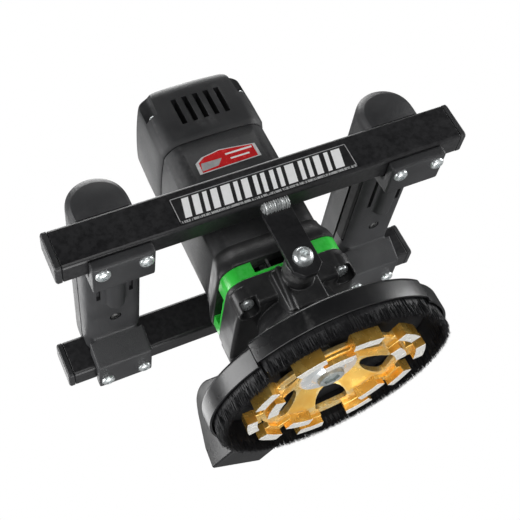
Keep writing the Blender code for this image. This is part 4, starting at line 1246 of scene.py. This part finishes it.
def soft_light(name, place, target, size, power):
    data = bpy.data.lights.new(name, "AREA")
    data.shape, data.size, data.energy = "SQUARE", size, power
    lamp = placed(name, data)
    lamp.location = place
    lamp.rotation_euler = (Vector(target) - Vector(place)).to_track_quat("-Z", "Y").to_euler()


def make_lights():
    """A large soft key from the left, a smaller fill from the right, and light from above and below."""
    centre = (0, 0, 0.12)
    soft_light("key", (-1.35, -0.05, 0.40), centre, 1.0, 22)
    soft_light("rim", (-0.6, 1.4, 0.85), centre, 1.0, 7)
    soft_light("top", (0.2, 0.1, 1.5), centre, 1.0, 18)
    soft_light("right", (1.3, -0.35, 0.15), centre, 0.7, 14)
    soft_light("front", (-0.2, -1.5, -0.35), centre, 0.9, 7)
    soft_light("below", (-0.1, 0.1, -1.3), centre, 1.0, 16)


def make_world():
    """White to the camera. On the object: a dim room above, and a bright pale ground below."""
    world = bpy.data.worlds.new("studio")
    world.use_nodes = True
    tree = world.node_tree
    direction = tree.nodes.new("ShaderNodeSeparateXYZ")
    tree.links.new(tree.nodes.new("ShaderNodeTexCoord").outputs["Generated"], direction.inputs[0])
    ground = map_range(tree, direction.outputs["Z"], -0.9, 0.0, 0.50, 0.05)
    path = tree.nodes.new("ShaderNodeLightPath")
    strength = map_range(tree, path.outputs["Is Camera Ray"], 0, 1, 0, 1)
    tree.links.new(ground.outputs["Result"], strength.inputs["To Min"])
    shade = tree.nodes["Background"]
    shade.inputs["Color"].default_value = (1, 1, 1, 1)
    tree.links.new(strength.outputs["Result"], shade.inputs["Strength"])
    bpy.context.scene.world = world
    bpy.context.scene.view_settings.view_transform = "Standard"


def make_floor():
    """A pale floor under the object, seen only from above, so that the low camera looks past it."""
    size, level = 40.0, -0.0006
    corners = [(x, y, level) for x, y in rectangle(-size, -size, size, size)]
    plane = new_mesh("floor", corners, [(0, 1, 2, 3)])
    material = bpy.data.materials.new("pale_floor")
    material.use_nodes = True
    tree = material.node_tree
    path, geometry = tree.nodes.new("ShaderNodeLightPath"), tree.nodes.new("ShaderNodeNewGeometry")
    front = tree.nodes.new("ShaderNodeMath")
    front.operation = "SUBTRACT"
    front.use_clamp = True
    tree.links.new(path.outputs["Is Camera Ray"], front.inputs[0])
    tree.links.new(geometry.outputs["Backfacing"], front.inputs[1])
    clear = tree.nodes.new("ShaderNodeBsdfTransparent")
    mix = tree.nodes.new("ShaderNodeMixShader")
    shader = tree.nodes["Principled BSDF"]
    shader.inputs["Base Color"].default_value = (0.55, 0.55, 0.545, 1)
    shader.inputs["Emission Color"].default_value = (1, 1, 0.99, 1)
    shader.inputs["Emission Strength"].default_value = 0.50
    shader.inputs["Roughness"].default_value = 0.8
    tree.links.new(front.outputs[0], mix.inputs[0])
    tree.links.new(clear.outputs[0], mix.inputs[1])
    tree.links.new(shader.outputs[0], mix.inputs[2])
    tree.links.new(mix.outputs[0], tree.nodes["Material Output"].inputs["Surface"])
    plane.data.materials.append(material)


def main():
    looks = make_looks()
    dress_nodes(looks)
    shape_nodes()
    make_screws(looks)
    make_grip_shells(looks)
    make_grip_undersides(looks)
    make_motor(looks)
    make_bell(looks)
    make_vent_ring(looks)
    make_gear_housing(looks)
    make_hood(looks)
    make_wheel_body(looks)
    make_segments(looks)
    make_flange(looks)
    make_brushes(looks)
    make_label(looks)
    make_sticker(looks)
    make_welds(looks)
    make_spacer(looks)
    make_camera()
    make_lights()
    make_world()
    make_floor()


main()
